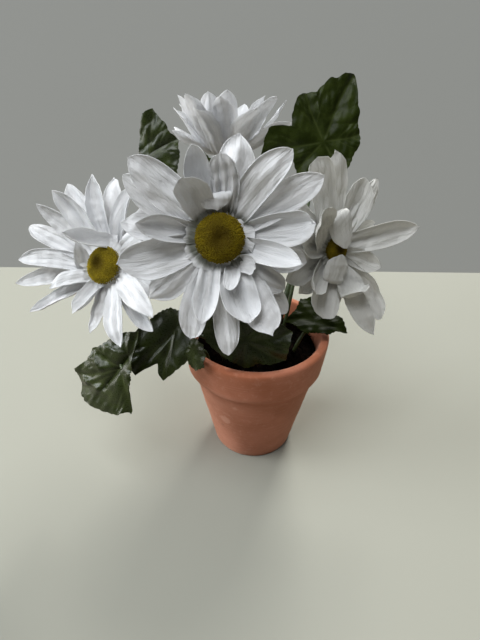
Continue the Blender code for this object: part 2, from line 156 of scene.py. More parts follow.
def ripple(places: np.ndarray, seed: int, size: float) -> np.ndarray:
    """Smooth unevenness: a few sine waves in fixed directions.

    Args:
        places: An array of points in mm.
        seed: Picks the waves.
        size: The length of the longest wave in mm.

    Returns:
        One value between about -1 and 1 for each point.
    """
    waves, fade, finer, gain = 5, 0.72, 1.55, 1.6
    chance = np.random.RandomState(seed)
    total = np.zeros(len(places))
    weight = 0.0
    for wave in range(waves):
        way = unit(chance.normal(size=3))
        share = fade ** wave
        total += share * np.sin(places @ way * math.tau / size * finer ** wave + chance.uniform(0, math.tau))
        weight += share
    return total / weight * gain


# ================================================================ modelling


def select_only(*pieces: bpy.types.Object) -> None:
    """Selects some objects and nothing else, and makes the first one active.

    Args:
        pieces: The objects; with none, everything is left deselected.
    """
    bpy.ops.object.select_all(action="DESELECT")
    for piece in pieces:
        piece.select_set(True)
    if pieces:
        bpy.context.view_layer.objects.active = pieces[0]


def read_points(piece: bpy.types.Object) -> np.ndarray:
    """Reads a mesh's points in mm.

    Args:
        piece: A mesh object.

    Returns:
        An array with a row for each point.
    """
    flat = np.zeros(len(piece.data.vertices) * 3)
    piece.data.vertices.foreach_get("co", flat)
    return flat.reshape(-1, 3) / MM


def write_points(piece: bpy.types.Object, points: np.ndarray) -> None:
    """Writes a mesh's points, given in mm."""
    piece.data.vertices.foreach_set("co", (np.asarray(points) * MM).ravel())
    piece.data.update()


def write_uvs(piece: bpy.types.Object, flat: np.ndarray) -> None:
    """Gives every corner its point's place on the flat cloth.

    Args:
        piece: A mesh object.
        flat: Each point's two measures on the cloth, in mm.
    """
    layer = piece.data.uv_layers.active or piece.data.uv_layers.new(name="UVMap")
    owner = np.zeros(len(piece.data.loops), int)
    piece.data.loops.foreach_get("vertex_index", owner)
    layer.data.foreach_set("uv", (flat[owner] / UV_UNIT).ravel())


def write_mask(piece: bpy.types.Object, name: str, values: np.ndarray) -> None:
    """Stores one number for each point under a name that materials can read."""
    layer = piece.data.attributes.new(name, "FLOAT", "POINT")
    layer.data.foreach_set("value", np.asarray(values, np.float32))


def apply_modifier(piece: bpy.types.Object, kind: str, **settings: Any) -> None:
    """Adds a modifier and applies it.

    Args:
        piece: The object it works on.
        kind: The modifier's type.
        settings: Properties to set on it.
    """
    select_only(piece)
    modifier = piece.modifiers.new(kind.title(), kind)
    for setting, value in settings.items():
        setattr(modifier, setting, value)
    bpy.ops.object.modifier_apply(modifier=modifier.name)


def join(pieces: Sequence[bpy.types.Object]) -> bpy.types.Object:
    """Joins meshes into the first of them.

    Args:
        pieces: The objects to join.

    Returns:
        The joined object.
    """
    select_only(*pieces)
    if len(pieces) > 1:
        bpy.ops.object.join()
    return bpy.context.view_layer.objects.active


def smooth(piece: bpy.types.Object, degrees: float) -> None:
    """Shades a piece smooth, with its sharp edges kept."""
    select_only(piece)
    bpy.ops.object.shade_smooth_by_angle(angle=math.radians(degrees))


def flat_grid(columns: int, rows: int) -> tuple[bpy.types.Object, np.ndarray, np.ndarray]:
    """Adds a grid to be shaped.

    Args:
        columns: Faces across.
        rows: Faces along.

    Returns:
        The object, and for each point its column and its row.
    """
    select_only()
    bpy.ops.mesh.primitive_grid_add(x_subdivisions=columns, y_subdivisions=rows, size=2.0)
    piece = bpy.context.object
    places = read_points(piece) * MM
    column = np.rint((places[:, 0] + 1.0) / 2.0 * columns).astype(int)
    row = np.rint((places[:, 1] + 1.0) / 2.0 * rows).astype(int)
    return piece, column, row


def close_seam(piece: bpy.types.Object) -> None:
    """Merges a wrapped grid's seam and pole, and turns its faces one way.

    Args:
        piece: The mesh object.
    """
    select_only(piece)
    bpy.ops.object.mode_set(mode="EDIT")
    bpy.ops.mesh.select_all(action="SELECT")
    bpy.ops.mesh.remove_doubles(threshold=WELD)
    bpy.ops.mesh.normals_make_consistent(inside=False)
    bpy.ops.object.mode_set(mode="OBJECT")


def lathe(profile: Path, sides: int) -> bpy.types.Object:
    """Raises a ring through a profile, as a potter does, and closes both ends.

    Args:
        profile: (radius, height) pairs in mm, from the foot outwards and over the rim.
        sides: Points round each ring.

    Returns:
        The closed mesh object.
    """
    radius, height = profile[0]
    select_only()
    bpy.ops.mesh.primitive_circle_add(vertices=sides, radius=radius * MM, fill_type="NOTHING")
    piece = bpy.context.object
    bpy.ops.object.mode_set(mode="EDIT")
    bpy.ops.transform.translate(value=(0.0, 0.0, height * MM))
    for wider, higher in profile[1:]:
        bpy.ops.mesh.extrude_region_move(
            TRANSFORM_OT_translate={"value": (0.0, 0.0, (higher - height) * MM)})
        share = wider / radius
        bpy.ops.transform.resize(value=(share, share, 1.0), center_override=(0.0, 0.0, higher * MM))
        radius, height = wider, higher
    bpy.ops.mesh.select_all(action="SELECT")
    bpy.ops.mesh.fill_holes(sides=0)
    bpy.ops.mesh.normals_make_consistent(inside=False)
    bpy.ops.object.mode_set(mode="OBJECT")
    return piece


def rods(lines: Iterable[tuple[Path, Sequence[float]]], sides: int) -> bpy.types.Object:
    """Round rods along lines, made from one bevelled curve.

    Args:
        lines: The points of each rod's middle line in mm, with the rod's radius at each of them.
        sides: The curve's bevel resolution.

    Returns:
        The mesh object, its rods with capped ends.
    """
    select_only()
    bpy.ops.curve.primitive_nurbs_path_add()
    piece = bpy.context.object
    curve = piece.data
    curve.splines.clear()
    for path, radii in lines:
        spline = curve.splines.new("POLY")
        spline.points.add(len(path) - 1)
        for point, place, radius in zip(spline.points, path, radii):
            point.co = (*(np.asarray(place) * MM), 1.0)
            point.radius = radius * MM
    curve.bevel_depth = 1.0
    curve.bevel_resolution = sides
    curve.use_fill_caps = True
    bpy.ops.object.convert(target="MESH")
    return bpy.context.object


def scatter(model: bpy.types.Object, places: Iterable[Matrix]) -> bpy.types.Object:
    """Copies a small model to many places, as one mesh with its own points.

    Args:
        model: What to copy; it is removed afterwards.
        places: A placing matrix in metres for each copy.

    Returns:
        The object with every copy.
    """
    corners = np.array([vertex.co for vertex in model.data.vertices])
    faces = [tuple(face.vertices) for face in model.data.polygons]
    points, polygons = [], []
    for place in places:
        start = len(points)
        turned = corners @ np.array(place.to_3x3()).T + np.array(place.translation)
        points.extend(turned.tolist())
        polygons.extend(tuple(corner + start for corner in face) for face in faces)
    mesh = bpy.data.meshes.new(model.name)
    mesh.from_pydata(points, [], polygons)
    piece = bpy.data.objects.new(model.name, mesh)
    bpy.context.scene.collection.objects.link(piece)
    bpy.data.objects.remove(model, do_unlink=True)
    return piece


def settle(piece: bpy.types.Object, name: str, finish: "Finish", *nodes: str) -> None:
    """Names and dresses a finished piece, and puts it on the part's body.

    Args:
        piece: The finished mesh object.
        name: The piece's name.
        finish: What it is finished in.
        nodes: The solids that it stands for.
    """
    piece.name = name
    piece.data.name = name
    piece.data.materials.clear()
    piece.data.materials.append(finish.material())
    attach(piece, BODY)
    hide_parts(*nodes)
    log.info("%s: %d faces", name, len(piece.data.polygons))


# ================================================================ shader wiring


class Wiring:
    """A node tree while it is being wired."""

    def __init__(self, tree: bpy.types.NodeTree) -> None:
        """Starts on an empty tree."""
        self.tree = tree
        tree.nodes.clear()

    def node(self, kind: str, **settings: Any) -> bpy.types.Node:
        """Adds a node.

        Args:
            kind: Its type without the ShaderNode in front.
            settings: Properties to set on it.

        Returns:
            The new node.
        """
        node = self.tree.nodes.new("ShaderNode" + kind)
        for setting, value in settings.items():
            setattr(node, setting, value)
        return node

    def feed(self, socket: bpy.types.NodeSocket, value: Any) -> None:
        """Wires a socket into another, or sets a plain value on it.

        Args:
            socket: The input socket.
            value: An output socket, or the value; a colour may leave out its alpha.
        """
        if isinstance(value, bpy.types.NodeSocket):
            self.tree.links.new(value, socket)
        elif isinstance(value, tuple) and len(value) == 3 and socket.type == "RGBA":
            socket.default_value = (*value, 1.0)
        else:
            socket.default_value = value

    def fill(self, node: bpy.types.Node, inputs: dict[Any, Any]) -> bpy.types.Node:
        """Feeds several of a node's inputs.

        Args:
            node: The node.
            inputs: What goes in, by the input's name or number.

        Returns:
            The same node.
        """
        for name, value in inputs.items():
            self.feed(node.inputs[name], value)
        return node

    def object_place(self) -> bpy.types.NodeSocket:
        """The point's place on the object, in metres."""
        return self.node("TexCoord").outputs["Object"]

    def cloth_place(self) -> bpy.types.NodeSocket:
        """The point's place on the flat cloth, one unit to 10 mm."""
        return self.node("UVMap", uv_map="UVMap").outputs["UV"]

    def mask(self, name: str) -> bpy.types.NodeSocket:
        """A number stored on the mesh's points."""
        return self.node("Attribute", attribute_name=name).outputs["Fac"]

    def stretch(self, place: bpy.types.NodeSocket, scale: Triple) -> bpy.types.NodeSocket:
        """A place scaled along its axes."""
        return self.fill(self.node("Mapping"), {"Vector": place, "Scale": scale}).outputs["Vector"]

    def noise(self, place: bpy.types.NodeSocket, scale: Any, rough: float, detail: float = 3.0,
              warp: float = 0.0) -> bpy.types.NodeSocket:
        """Cloudy noise.

        Args:
            place: Where to read it.
            scale: Clouds to the unit of place.
            rough: How strong the small ones are.
            detail: Octaves.
            warp: How far it is distorted.

        Returns:
            A value socket about 0.5.
        """
        inputs = {"Vector": place, "Scale": scale, "Detail": detail, "Roughness": rough, "Distortion": warp}
        return self.fill(self.node("TexNoise"), inputs).outputs["Fac"]

    def span(self, value: Any, low: float, high: float, to_low: float = 0.0,
             to_high: float = 1.0) -> bpy.types.NodeSocket:
        """Maps a range of values to another, clipped and eased.

        Args:
            value: What is mapped.
            low: Where the range starts.
            high: Where it ends.
            to_low: The result at its start.
            to_high: The result at its end.

        Returns:
            The result's socket.
        """
        node = self.node("MapRange", interpolation_type="SMOOTHSTEP")
        return self.fill(node, dict(enumerate((value, low, high, to_low, to_high)))).outputs["Result"]

    def sum(self, operation: str, first: Any, second: Any) -> bpy.types.NodeSocket:
        """Two values put together by one of the Math node's operations."""
        return self.fill(self.node("Math", operation=operation), {0: first, 1: second}).outputs[0]

    def blend(self, share: Any, first: Any, second: Any) -> bpy.types.NodeSocket:
        """Two colours blended by a share; the Mix node's colour sockets go by number."""
        node = self.node("Mix", data_type="RGBA")
        return self.fill(node, {0: share, 6: first, 7: second}).outputs[2]

    def tint(self, value: Any, edges: Pair, under: Any, over: Any, most: float = 1.0) -> bpy.types.NodeSocket:
        """Lays a colour over another as a value rises.

        Args:
            value: What decides.
            edges: The value where the upper colour starts to show, and where it shows most.
            under: The colour below.
            over: The colour laid over it.
            most: The largest share of the upper colour.

        Returns:
            The blended colour.
        """
        return self.blend(self.span(value, *edges, 0.0, most), under, over)

    def bump(self, height: Any, distance: float, strength: float,
             under: Any = None) -> bpy.types.NodeSocket:
        """Turns a height into a normal.

        Args:
            height: The height, about 0 to 1.
            distance: What a height of 1 stands for, in metres.
            strength: How much of it is used.
            under: The normal to build on.

        Returns:
            The normal socket.
        """
        node = self.fill(self.node("Bump"), {"Height": height, "Distance": distance, "Strength": strength})
        if under is not None:
            self.feed(node.inputs["Normal"], under)
        return node.outputs["Normal"]

    def shared(self, group: bpy.types.NodeTree, **values: Any) -> bpy.types.Node:
        """Places a shared effect with its own values."""
        return self.fill(self.node("Group", node_tree=group), values)


def shared_effect(name: str, inputs: dict[str, float | None], outputs: Sequence[str],
                  fill: Callable[[Wiring, Any, Any], None]) -> bpy.types.NodeTree:
    """Builds a node group once and hands it back ever after.

    Args:
        name: The group's name.
        inputs: Each input's default by its name; one with None is a place instead of a number.
        outputs: The names of the numbers that it puts out.
        fill: Wires the inside, given the wiring and the group's input and output nodes.

    Returns:
        The group.
    """
    if name in bpy.data.node_groups:
        return bpy.data.node_groups[name]
    group = bpy.data.node_groups.new(name, "ShaderNodeTree")
    for socket, default in inputs.items():
        kind = "NodeSocketVector" if default is None else "NodeSocketFloat"
        made = group.interface.new_socket(socket, in_out="INPUT", socket_type=kind)
        if default is not None:
            made.default_value = default
    for socket in outputs:
        group.interface.new_socket(socket, in_out="OUTPUT", socket_type="NodeSocketFloat")
    wiring = Wiring(group)
    fill(wiring, group.nodes.new("NodeGroupInput"), group.nodes.new("NodeGroupOutput"))
    return group


def cloth_weave() -> bpy.types.NodeTree:
    """The plain weave of thin polyester cloth: a height from two crossed sets of threads."""

    def fill(wiring: Wiring, entry: bpy.types.Node, leave: bpy.types.Node) -> None:
        """Crosses two wave patterns and breaks them up a little.

        Args:
            wiring: The group's wiring.
            entry: Its input node.
            leave: Its output node.
        """
        waves = []
        for direction in ("X", "Y"):
            wave = wiring.node("TexWave", wave_type="BANDS", bands_direction=direction)
            wiring.fill(wave, {"Vector": entry.outputs["Place"], "Scale": entry.outputs["Threads"],
                               "Distortion": 0.4})
            waves.append(wave.outputs["Fac"])
        wiring.feed(leave.inputs["Height"], wiring.sum("MULTIPLY", *waves))

    return shared_effect("cloth_weave", {"Place": None, "Threads": 12.0}, ("Height",), fill)


def mottle() -> bpy.types.NodeTree:
    """Two sizes of uneven tone, each about 0.5, for colour and roughness."""

    def fill(wiring: Wiring, entry: bpy.types.Node, leave: bpy.types.Node) -> None:
        """Reads noise at two sizes.

        Args:
            wiring: The group's wiring.
            entry: Its input node.
            leave: Its output node.
        """
        place, size = entry.outputs["Place"], entry.outputs["Size"]
        finer = wiring.sum("MULTIPLY", size, 9.0)
        wiring.feed(leave.inputs["Broad"], wiring.noise(place, size, rough=0.5, warp=0.3))
        wiring.feed(leave.inputs["Fine"], wiring.noise(place, finer, rough=0.65, detail=4.0))

    return shared_effect("mottle", {"Place": None, "Size": 40.0}, ("Broad", "Fine"), fill)


def spot() -> bpy.types.NodeTree:
    """A soft-edged, ragged spot about a place: 1 inside, 0 outside."""

    def fill(wiring: Wiring, entry: bpy.types.Node, leave: bpy.types.Node) -> None:
        """Compares a roughened distance with the radius.

        Args:
            wiring: The group's wiring.
            entry: Its input node.
            leave: Its output node.
        """
        place = entry.outputs["Place"]
        away = wiring.fill(wiring.node("VectorMath", operation="DISTANCE"),
                           {0: place, 1: entry.outputs["Centre"]})
        uneven = wiring.sum("ADD", wiring.noise(place, 900.0, rough=0.6), 0.5)
        ragged = wiring.sum("MULTIPLY", away.outputs["Value"], uneven)
        share = wiring.sum("DIVIDE", ragged, entry.outputs["Radius"])
        wiring.feed(leave.inputs["Mask"], wiring.span(share, 0.6, 1.1, 1.0, 0.0))

    return shared_effect("spot", {"Place": None, "Centre": None, "Radius": 0.002}, ("Mask",), fill)


# ================================================================ finishes


@dataclass(frozen=True)
class Finish:
    """What a piece is finished in; each kind wires its own shader."""

    name: str
    slot: str

    def material(self) -> bpy.types.Material:
        """Builds the material the first time and hands it back ever after.

        Returns:
            The material.
        """
        if self.name in bpy.data.materials:
            return bpy.data.materials[self.name]
        made = bpy.data.materials.new(self.name)
        made.use_nodes = True
        wiring = Wiring(made.node_tree)
        output = wiring.node("OutputMaterial")
        shader = wiring.node("BsdfPrincipled")
        wiring.feed(output.inputs["Surface"], self.wire(wiring, shader) or shader.outputs["BSDF"])
        return made

    def wire(self, wiring: Wiring, shader: bpy.types.Node) -> bpy.types.NodeSocket | None:
        """Wires the finish into its shader; each finish has its own.

        Args:
            wiring: The material's wiring.
            shader: Its Principled shader.

        Returns:
            The shader socket that the surface takes, where it isn't the Principled one.
        """
        raise NotImplementedError


@dataclass(frozen=True)
class Terracotta(Finish):
    """Unglazed clay: warm orange pink, faint turning lines, paler bloom, fine grain.

    A mark is its centre and its radius, in metres.
    """

    body: Triple = (0.42, 0.142, 0.072)
    pink: Triple = (0.53, 0.20, 0.118)
    bloom: Triple = (0.68, 0.37, 0.27)
    speck: Triple = (0.30, 0.11, 0.06)
    chip: Triple = (0.22, 0.08, 0.05)
    turning: Triple = (6.0, 6.0, 260.0)
    rough: Pair = (0.72, 0.88)
    sheen: Triple = (1.0, 0.66, 0.52)
    scuffs: tuple[Mark, ...] = ()
    nicks: tuple[Mark, ...] = ()

    def wire(self, wiring: Wiring, shader: bpy.types.Node) -> None:
        """Mottled clay with turning lines round it and a few rubbed places.

        Args:
            wiring: The material's wiring.
            shader: Its Principled shader.
        """
        place = wiring.object_place()
        tone = wiring.shared(mottle(), Place=place, Size=38.0)
        broad, fine = tone.outputs["Broad"], tone.outputs["Fine"]
        lines = wiring.noise(wiring.stretch(place, self.turning), 5.0, rough=0.6)
        sand = wiring.noise(place, 1500.0, rough=0.5, detail=2.0)
        colour = wiring.tint(broad, (0.35, 0.65), self.body, self.pink)
        colour = wiring.tint(lines, (0.52, 0.75), colour, self.bloom, most=0.16)
        colour = wiring.tint(sand, (0.62, 0.75), colour, self.speck, most=0.35)
        colour = wiring.blend(wiring.sum("MULTIPLY", wiring.span(fine, 0.5, 0.72), 0.22), colour, self.bloom)
        for marks, share, over in ((self.scuffs, 0.5, self.bloom), (self.nicks, 0.8, self.chip)):
            for centre, radius in marks:
                mark = wiring.shared(spot(), Place=place, Centre=centre, Radius=radius)
                colour = wiring.blend(wiring.sum("MULTIPLY", mark.outputs["Mask"], share), colour, over)
        grain = wiring.bump(wiring.noise(place, 2200.0, rough=0.6), distance=0.00008, strength=0.7)
        wiring.fill(shader, {
            "Base Color": colour, "Roughness": wiring.span(fine, 0.3, 0.7, *self.rough),
            "Normal": wiring.bump(lines, distance=0.00025, strength=0.6, under=grain),
            "Specular IOR Level": 0.12, "Sheen Weight": 0.42, "Sheen Roughness": 0.45,
            "Sheen Tint": self.sheen})


@dataclass(frozen=True)
class Silk(Finish):
    """Stiffened white polyester with a faint satin sheen; thin, so that some light comes through."""

    white: Triple = (0.835, 0.84, 0.85)
    # painted shade for the pressed valleys, also the colour of the cloth's random streaks
    valley_shade_and_streak: Triple = (0.72, 0.73, 0.745)
    # the grey ring by the centre: dust, and painted shade
    ring_dust_and_shade: Triple = (0.115, 0.125, 0.085)
    through: float = 0.24
    rough: Pair = (0.48, 0.62)
    streaks: Triple = (4.0, 0.6, 1.0)
    threads: float = 9.0

    def wire(self, wiring: Wiring, shader: bpy.types.Node) -> bpy.types.NodeSocket:
        """White cloth with painted shade in the pressed valleys, and a grey ring by the centre that is partly
        dust and partly painted shade.

        Args:
            wiring: The material's wiring.
            shader: Its Principled shader.

        Returns:
            The satin mixed with what comes through the cloth.
        """
        flat = wiring.cloth_place()
        tone = wiring.noise(wiring.stretch(flat, self.streaks), 1.4, rough=0.6, detail=4.0, warp=0.5)
        # the grey ring by the centre, dust with painted shade
        dust_and_shade_share = wiring.sum("MULTIPLY", wiring.mask("root"), wiring.sum("ADD", tone, 0.55))
        # painted shade in the pressed valleys
        valley_shade_and_streak = wiring.span(wiring.mask("fold"), -0.9, 0.4, 0.8, 0.0)
        colour = wiring.blend(valley_shade_and_streak, self.white, self.valley_shade_and_streak)
        colour = wiring.tint(tone, (0.35, 0.75), colour, self.valley_shade_and_streak, most=0.2)
        colour = wiring.tint(dust_and_shade_share, (0.25, 0.85), colour, self.ring_dust_and_shade, most=0.9)
        weave = wiring.shared(cloth_weave(), Place=flat, Threads=self.threads)
        threads = wiring.bump(weave.outputs["Height"], distance=0.00004, strength=0.5)
        pressed = wiring.bump(tone, distance=0.0015, strength=0.7, under=threads)
        wiring.fill(shader, {"Base Color": colour, "Roughness": wiring.span(tone, 0.3, 0.7, *self.rough),
                             "Normal": pressed, "Specular IOR Level": 0.35})
        glow = wiring.fill(wiring.node("BsdfTranslucent"), {"Color": colour, "Normal": pressed})
        layers = {0: self.through, 1: shader.outputs["BSDF"], 2: glow.outputs["BSDF"]}
        return wiring.fill(wiring.node("MixShader"), layers).outputs["Shader"]


@dataclass(frozen=True)
class CoatedLeaf(Finish):
    """Dark green coated cloth with pressed veins and a low sheen."""

    green: Triple = (0.014, 0.021, 0.003)
    light: Triple = (0.027, 0.038, 0.007)
    vein: Triple = (0.065, 0.082, 0.026)
    gloss: float = 0.34
    rough: Pair = (0.25, 0.36)
    threads: float = 7.0

    def wire(self, wiring: Wiring, shader: bpy.types.Node) -> None:
        """Mottled green, paler along the veins, woven under its coat.

        Args:
            wiring: The material's wiring.
            shader: Its Principled shader.
        """
        flat = wiring.cloth_place()
        tone = wiring.shared(mottle(), Place=flat, Size=1.3)
        broad, fine = tone.outputs["Broad"], tone.outputs["Fine"]
        colour = wiring.tint(broad, (0.35, 0.7), self.green, self.light)
        colour = wiring.blend(wiring.sum("MULTIPLY", wiring.mask("vein"), 0.45), colour, self.vein)
        weave = wiring.shared(cloth_weave(), Place=flat, Threads=self.threads)
        threads = wiring.bump(weave.outputs["Height"], distance=0.00005, strength=0.5)
        wiring.fill(shader, {
            "Base Color": colour, "Roughness": wiring.span(fine, 0.3, 0.7, *self.rough),
            "Normal": wiring.bump(fine, distance=0.00012, strength=0.4, under=threads),
            "Specular IOR Level": self.gloss})


@dataclass(frozen=True)
class StemPlastic(Finish):
    """Moulded green plastic over wire."""

    green: Triple = (0.028, 0.045, 0.012)
    light: Triple = (0.052, 0.078, 0.024)
    rough: Pair = (0.40, 0.58)
    lengthwise: Triple = (1.0, 1.0, 0.12)

    def wire(self, wiring: Wiring, shader: bpy.types.Node) -> None:
        """Uneven green with fine lengthwise moulding lines.

        Args:
            wiring: The material's wiring.
            shader: Its Principled shader.
        """
        place = wiring.object_place()
        tone = wiring.shared(mottle(), Place=place, Size=90.0)
        grain = wiring.noise(wiring.stretch(place, self.lengthwise), 2600.0, rough=0.5, detail=2.0)
        wiring.fill(shader, {
            "Base Color": wiring.tint(tone.outputs["Broad"], (0.35, 0.65), self.green, self.light),
            "Roughness": wiring.span(tone.outputs["Fine"], 0.3, 0.7, *self.rough),
            "Normal": wiring.bump(grain, distance=0.0001, strength=0.5)})


@dataclass(frozen=True)
class Flock(Finish):
    """The beaded mustard flock of a flower's centre, browner in the middle."""

    mustard: Triple = (0.25, 0.185, 0.006)
    olive: Triple = (0.15, 0.108, 0.004)
    brown: Triple = (0.050, 0.028, 0.002)
    sheen: Triple = (0.85, 0.74, 0.20)

    def wire(self, wiring: Wiring, shader: bpy.types.Node) -> None:
        """Mustard beads, deeper between them and browner at the middle of the dome.

        Args:
            wiring: The material's wiring.
            shader: Its Principled shader.
        """
        place = wiring.object_place()
        tone = wiring.shared(mottle(), Place=place, Size=220.0)
        colour = wiring.tint(tone.outputs["Broad"], (0.3, 0.7), self.olive, self.mustard)
        colour = wiring.tint(wiring.mask("heart"), (0.0, 1.0), colour, self.brown, most=0.75)
        colour = wiring.tint(tone.outputs["Fine"], (0.55, 0.8), colour, self.brown, most=0.4)
        fuzz = wiring.noise(place, 3500.0, rough=0.6)
        wiring.fill(shader, {
            "Base Color": colour, "Roughness": 0.85, "Specular IOR Level": 0.1,
            "Normal": wiring.bump(fuzz, distance=0.0002, strength=0.8),
            "Sheen Weight": 0.2, "Sheen Roughness": 0.5, "Sheen Tint": self.sheen})


@dataclass(frozen=True)
class MossFibre(Finish):
    """Dark brown shredded fibre, its near black colour partly painted shade for the shade inside the pot."""

    # near black: partly the fibre's own colour, partly painted shade for the shade inside the pot
    dark: Triple = (0.002, 0.0014, 0.001)
    brown: Triple = (0.007, 0.0035, 0.002)
    rough: Pair = (0.55, 0.85)

    def wire(self, wiring: Wiring, shader: bpy.types.Node) -> None:
        """Brown and near black fibres, mixed; the near black is partly painted shade.

        Args:
            wiring: The material's wiring.
            shader: Its Principled shader.
        """
        tone = wiring.shared(mottle(), Place=wiring.object_place(), Size=180.0)
        broad, fine = tone.outputs["Broad"], tone.outputs["Fine"]
        wiring.fill(shader, {
            "Base Color": wiring.tint(broad, (0.4, 0.7), self.dark, self.brown),
            "Roughness": wiring.span(fine, 0.3, 0.7, *self.rough),
            "Normal": wiring.bump(fine, distance=0.0006, strength=0.8), "Specular IOR Level": 0.01})


# ================================================================ the flower heads


class Sheet(Enum):
    """The three die-cut petal sheets of a head, by their place on its axis."""

    BACK = 0
    MIDDLE = 1
    FRONT = 2


# The least and the most of a shape value that is drawn by chance.
CHANCES: dict[str, Pair] = {
    "tip": (-18.0, 22.0), "sway": (-8.0, 8.0), "ridge": (-0.35, 0.35), "pleat": (0.12, 0.5),
    "skew": (-0.5, 0.5)}


@dataclass(frozen=True)
class Petal:
    """One petal. Lengths in mm, angles in degrees.

    clock is where it points, as on a clock face; lift raises it from the sheet, curl bends it on
    towards its tip, cup rolls its sides up and blunt squares its tip. tip bends its last third, sway
    bows it sideways, ridge is the slope of its middle fold, pleat the depth of its fine pleats and
    skew rolls one side more than the other; each of these is drawn by chance where it isn't given.
    fold is the share of the length where the tip's bend begins, and root the angle where the petal
    leaves the hub when it isn't found from its neighbours; start is how far from the head's axis it
    begins; a petal with a start heads straight for its clock, while the others leave radially.
    """

    clock: float
    length: float
    width: float
    lift: float
    curl: float = 0.0
    cup: float = 20.0
    twist: float = 0.0
    blunt: float = 0.3
    tip: float | None = None
    sway: float | None = None
    ridge: float | None = None
    pleat: float | None = None
    skew: float | None = None
    fold: float = 0.6
    root: float | None = None
    start: float | None = None

    def drawn(self, name: str, chance: np.random.RandomState) -> float:
        """A shape value as given, or else drawn by chance; the draw is made either way.

        Args:
            name: The value's name.
            chance: The head's random numbers.

        Returns:
            The value.
        """
        lot = chance.uniform(*CHANCES[name])
        given = getattr(self, name)
        return lot if given is None else given


@dataclass(frozen=True)
class HeadPlan:
    """A head's hub, the way it faces, its stem's foot and the petals of its sheets."""

    hub: Triple
    facing: Triple
    foot: Pair
    petals: dict[Sheet, tuple[Petal, ...]]


